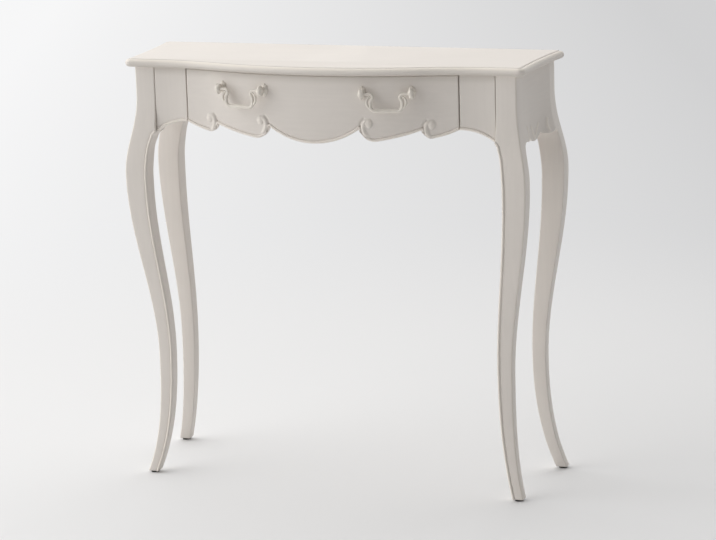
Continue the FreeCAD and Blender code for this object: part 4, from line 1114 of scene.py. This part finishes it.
KEPT = {
    paint_x: ["back_rail"],
    raw_x: ["front_lower_rail", "front_upper_rail", "drawer_back", "drawer_bottom"],
    raw_y: ["left_drawer_runner", "right_drawer_runner", "left_drawer_guide", "right_drawer_guide",
            "left_kicker", "right_kicker", "drawer_left_side", "drawer_right_side"],
    raw_z: ["left_drawer_stop", "right_drawer_stop", "front_left_corner_block", "front_right_corner_block",
            "rear_left_corner_block", "rear_right_corner_block"],
    steel: ["corner_block_screws", "top_screws", "handle_screws"],
    glide_plastic: ["foot_glides"],
}
for kept_material, kept_names in KEPT.items():
    for kept_name in kept_names:
        kept_mesh = frame["nodes"][kept_name].data
        kept_mesh.materials.clear()
        kept_mesh.materials.append(kept_material)


# Studio


# Camera fitted to the photograph: focal length in pixels, distance and target in millimetres
PICTURE_WIDTH = 716.0
FOCAL = 2631.5
YAW = math.radians(19.7108)
PITCH = math.radians(13.1974)
ROLL = math.radians(-1.7199)
DISTANCE = 5045.18
TARGET = Vector((-9.05, FRONT_Y + 194.98, 368.85))
SENSOR = 36.0
CLIP_END = 200.0
# Floor, in metres: its colour darkens from the left of the picture to the right, a painted falloff of the
# light from the left, and it turns into the backdrop.
FLOOR_REACH = 40.0
FLOOR_SIDE = 1.3
FLOOR_ROUGHNESS = 0.9
FLOOR_SPECULAR = 0.1
FLOOR_LEFT = (0.82, 0.82, 0.825, 1.0)
FLOOR_RIGHT = (0.62, 0.62, 0.625, 1.0)
BACKDROP_LEFT = (0.93, 0.93, 0.935, 1.0)
BACKDROP_RIGHT = (0.64, 0.64, 0.645, 1.0)
BACKDROP_NEAR = 0.9
BACKDROP_FAR = 2.4
HORIZON = (0.83, 0.83, 0.835, 1.0)
HORIZON_NEAR = 9.0
HORIZON_FAR = 25.0
# Soft lights of the studio dome: degrees from the front towards the left, degrees up, narrowness, level
DOME = (
    (77.0, 22.0, 4.0, 3.2),
    (170.0, 45.0, 3.0, 2.05),
    (-70.0, 25.0, 3.0, 0.14),
    (0.0, 75.0, 3.0, 0.12),
)
DOME_COLOUR = (1.0, 0.995, 0.985, 1.0)


def shown_rays(nodes, links):
    """One for the rays that show a surface: seen straight, in a gloss or through a clear thing."""
    path = nodes.new("ShaderNodeLightPath")
    seen = path.outputs["Is Camera Ray"]
    for other in ("Is Glossy Ray", "Is Transmission Ray"):
        either = nodes.new("ShaderNodeMath")
        either.operation = "MAXIMUM"
        links.new(seen, either.inputs[0])
        links.new(path.outputs[other], either.inputs[1])
        seen = either.outputs["Value"]
    return seen


def make_floor():
    """Pale seamless floor that keeps the table's shadow and turns into a glowing backdrop further away, then
    into an even pale horizon. Floor and backdrop darken from left to right: painted falloff of the light.
    """
    mesh = bpy.data.meshes.new("studio_floor")
    corners = ((-1.0, -1.0), (1.0, -1.0), (1.0, 1.0), (-1.0, 1.0))
    mesh.from_pydata([(FLOOR_REACH * a, FLOOR_REACH * b, 0.0) for a, b in corners], [], [(0, 1, 2, 3)])
    floor = bpy.data.objects.new("studio_floor", mesh)
    bpy.context.scene.collection.objects.link(floor)
    material, nodes, links, shader = blank_material("studio_grey")
    shader.inputs["Roughness"].default_value = FLOOR_ROUGHNESS
    shader.inputs["Specular IOR Level"].default_value = FLOOR_SPECULAR
    place = nodes.new("ShaderNodeNewGeometry")
    aside = nodes.new("ShaderNodeVectorMath")
    aside.operation = "DOT_PRODUCT"
    aside.inputs[1].default_value = (math.cos(YAW), math.sin(YAW), 0.0)
    links.new(place.outputs["Position"], aside.inputs[0])
    across = ranged(nodes, links, aside.outputs["Value"], (-FLOOR_SIDE, FLOOR_SIDE))
    length = nodes.new("ShaderNodeVectorMath")
    length.operation = "LENGTH"
    links.new(place.outputs["Position"], length.inputs[0])

    def left_to_right(left, right):
        return colour_ramp(nodes, links, across, (0.0, 1.0), (left, right))

    def farther(near, far):
        """Zero up to the near distance from the table, one from the far distance on."""
        return ranged(nodes, links, length.outputs["Value"], (near, far), interpolation="SMOOTHSTEP")

    # Colours that darken from left to right: painted falloff of the light from the left.
    links.new(left_to_right(FLOOR_LEFT, FLOOR_RIGHT), shader.inputs["Base Color"])
    near_colour = left_to_right(BACKDROP_LEFT, BACKDROP_RIGHT)
    backdrop = mixed(nodes, links, farther(HORIZON_NEAR, HORIZON_FAR), near_colour, HORIZON)
    glow = nodes.new("ShaderNodeEmission")
    links.new(backdrop, glow.inputs["Color"])
    weight = nodes.new("ShaderNodeMath")
    weight.operation = "MULTIPLY"
    links.new(shown_rays(nodes, links), weight.inputs[0])
    links.new(farther(BACKDROP_NEAR, BACKDROP_FAR), weight.inputs[1])
    mix = nodes.new("ShaderNodeMixShader")
    links.new(weight.outputs["Value"], mix.inputs["Fac"])
    links.new(shader.outputs["BSDF"], mix.inputs[1])
    links.new(glow.outputs["Emission"], mix.inputs[2])
    links.new(mix.outputs["Shader"], nodes["Material Output"].inputs["Surface"])
    mesh.materials.append(material)


def make_world():
    """Dome of soft light, brightest on the left."""
    world = bpy.data.worlds.new("studio_world")
    bpy.context.scene.world = world
    world.use_nodes = True
    nodes, links = world.node_tree.nodes, world.node_tree.links
    where = nodes.new("ShaderNodeTexCoord")

    def maths(operation, value, number):
        node = nodes.new("ShaderNodeMath")
        node.operation = operation
        links.new(value, node.inputs[0])
        node.inputs[1].default_value = number
        node.inputs[2].default_value = 0.0
        return node

    total = None
    for degrees_left, degrees_up, narrow, level in DOME:
        turn, rise = math.radians(degrees_left), math.radians(degrees_up)
        toward = nodes.new("ShaderNodeVectorMath")
        toward.operation = "DOT_PRODUCT"
        toward.inputs[1].default_value = (-math.sin(turn) * math.cos(rise), -math.cos(turn) * math.cos(rise),
                                          math.sin(rise))
        links.new(where.outputs["Generated"], toward.inputs[0])
        facing = maths("MAXIMUM", toward.outputs["Value"], 0.0)
        lobe = maths("POWER", facing.outputs["Value"], narrow)
        share = maths("MULTIPLY_ADD", lobe.outputs["Value"], level)
        if total:
            links.new(total, share.inputs[2])
        total = share.outputs["Value"]
    dome = nodes["Background"]
    dome.inputs["Color"].default_value = DOME_COLOUR
    links.new(total, dome.inputs["Strength"])
    pale = nodes.new("ShaderNodeBackground")
    pale.inputs["Color"].default_value = HORIZON
    mix = nodes.new("ShaderNodeMixShader")
    links.new(shown_rays(nodes, links), mix.inputs["Fac"])
    links.new(dome.outputs["Background"], mix.inputs[1])
    links.new(pale.outputs["Background"], mix.inputs[2])
    links.new(mix.outputs["Shader"], nodes["World Output"].inputs["Surface"])


def make_camera():
    """Camera that sees the table as the photograph does."""
    back = Vector((math.sin(YAW) * math.cos(PITCH), -math.cos(YAW) * math.cos(PITCH), math.sin(PITCH)))
    right = Vector((math.cos(YAW), math.sin(YAW), 0.0))
    up = back.cross(right)
    turned_right = right * math.cos(ROLL) + up * math.sin(ROLL)
    turned_up = up * math.cos(ROLL) - right * math.sin(ROLL)
    data = bpy.data.cameras.new("photo_camera")
    data.sensor_fit = "HORIZONTAL"
    data.sensor_width = SENSOR
    data.lens = FOCAL / PICTURE_WIDTH * SENSOR
    data.clip_end = CLIP_END
    camera = bpy.data.objects.new("photo_camera", data)
    bpy.context.scene.collection.objects.link(camera)
    place = (TARGET + back * DISTANCE) * MM
    turn = Matrix((turned_right, turned_up, back)).transposed().to_4x4()
    camera.matrix_world = Matrix.Translation(place) @ turn
    bpy.context.scene.camera = camera


make_floor()
make_world()
make_camera()
bpy.context.scene.view_settings.view_transform = "Standard"
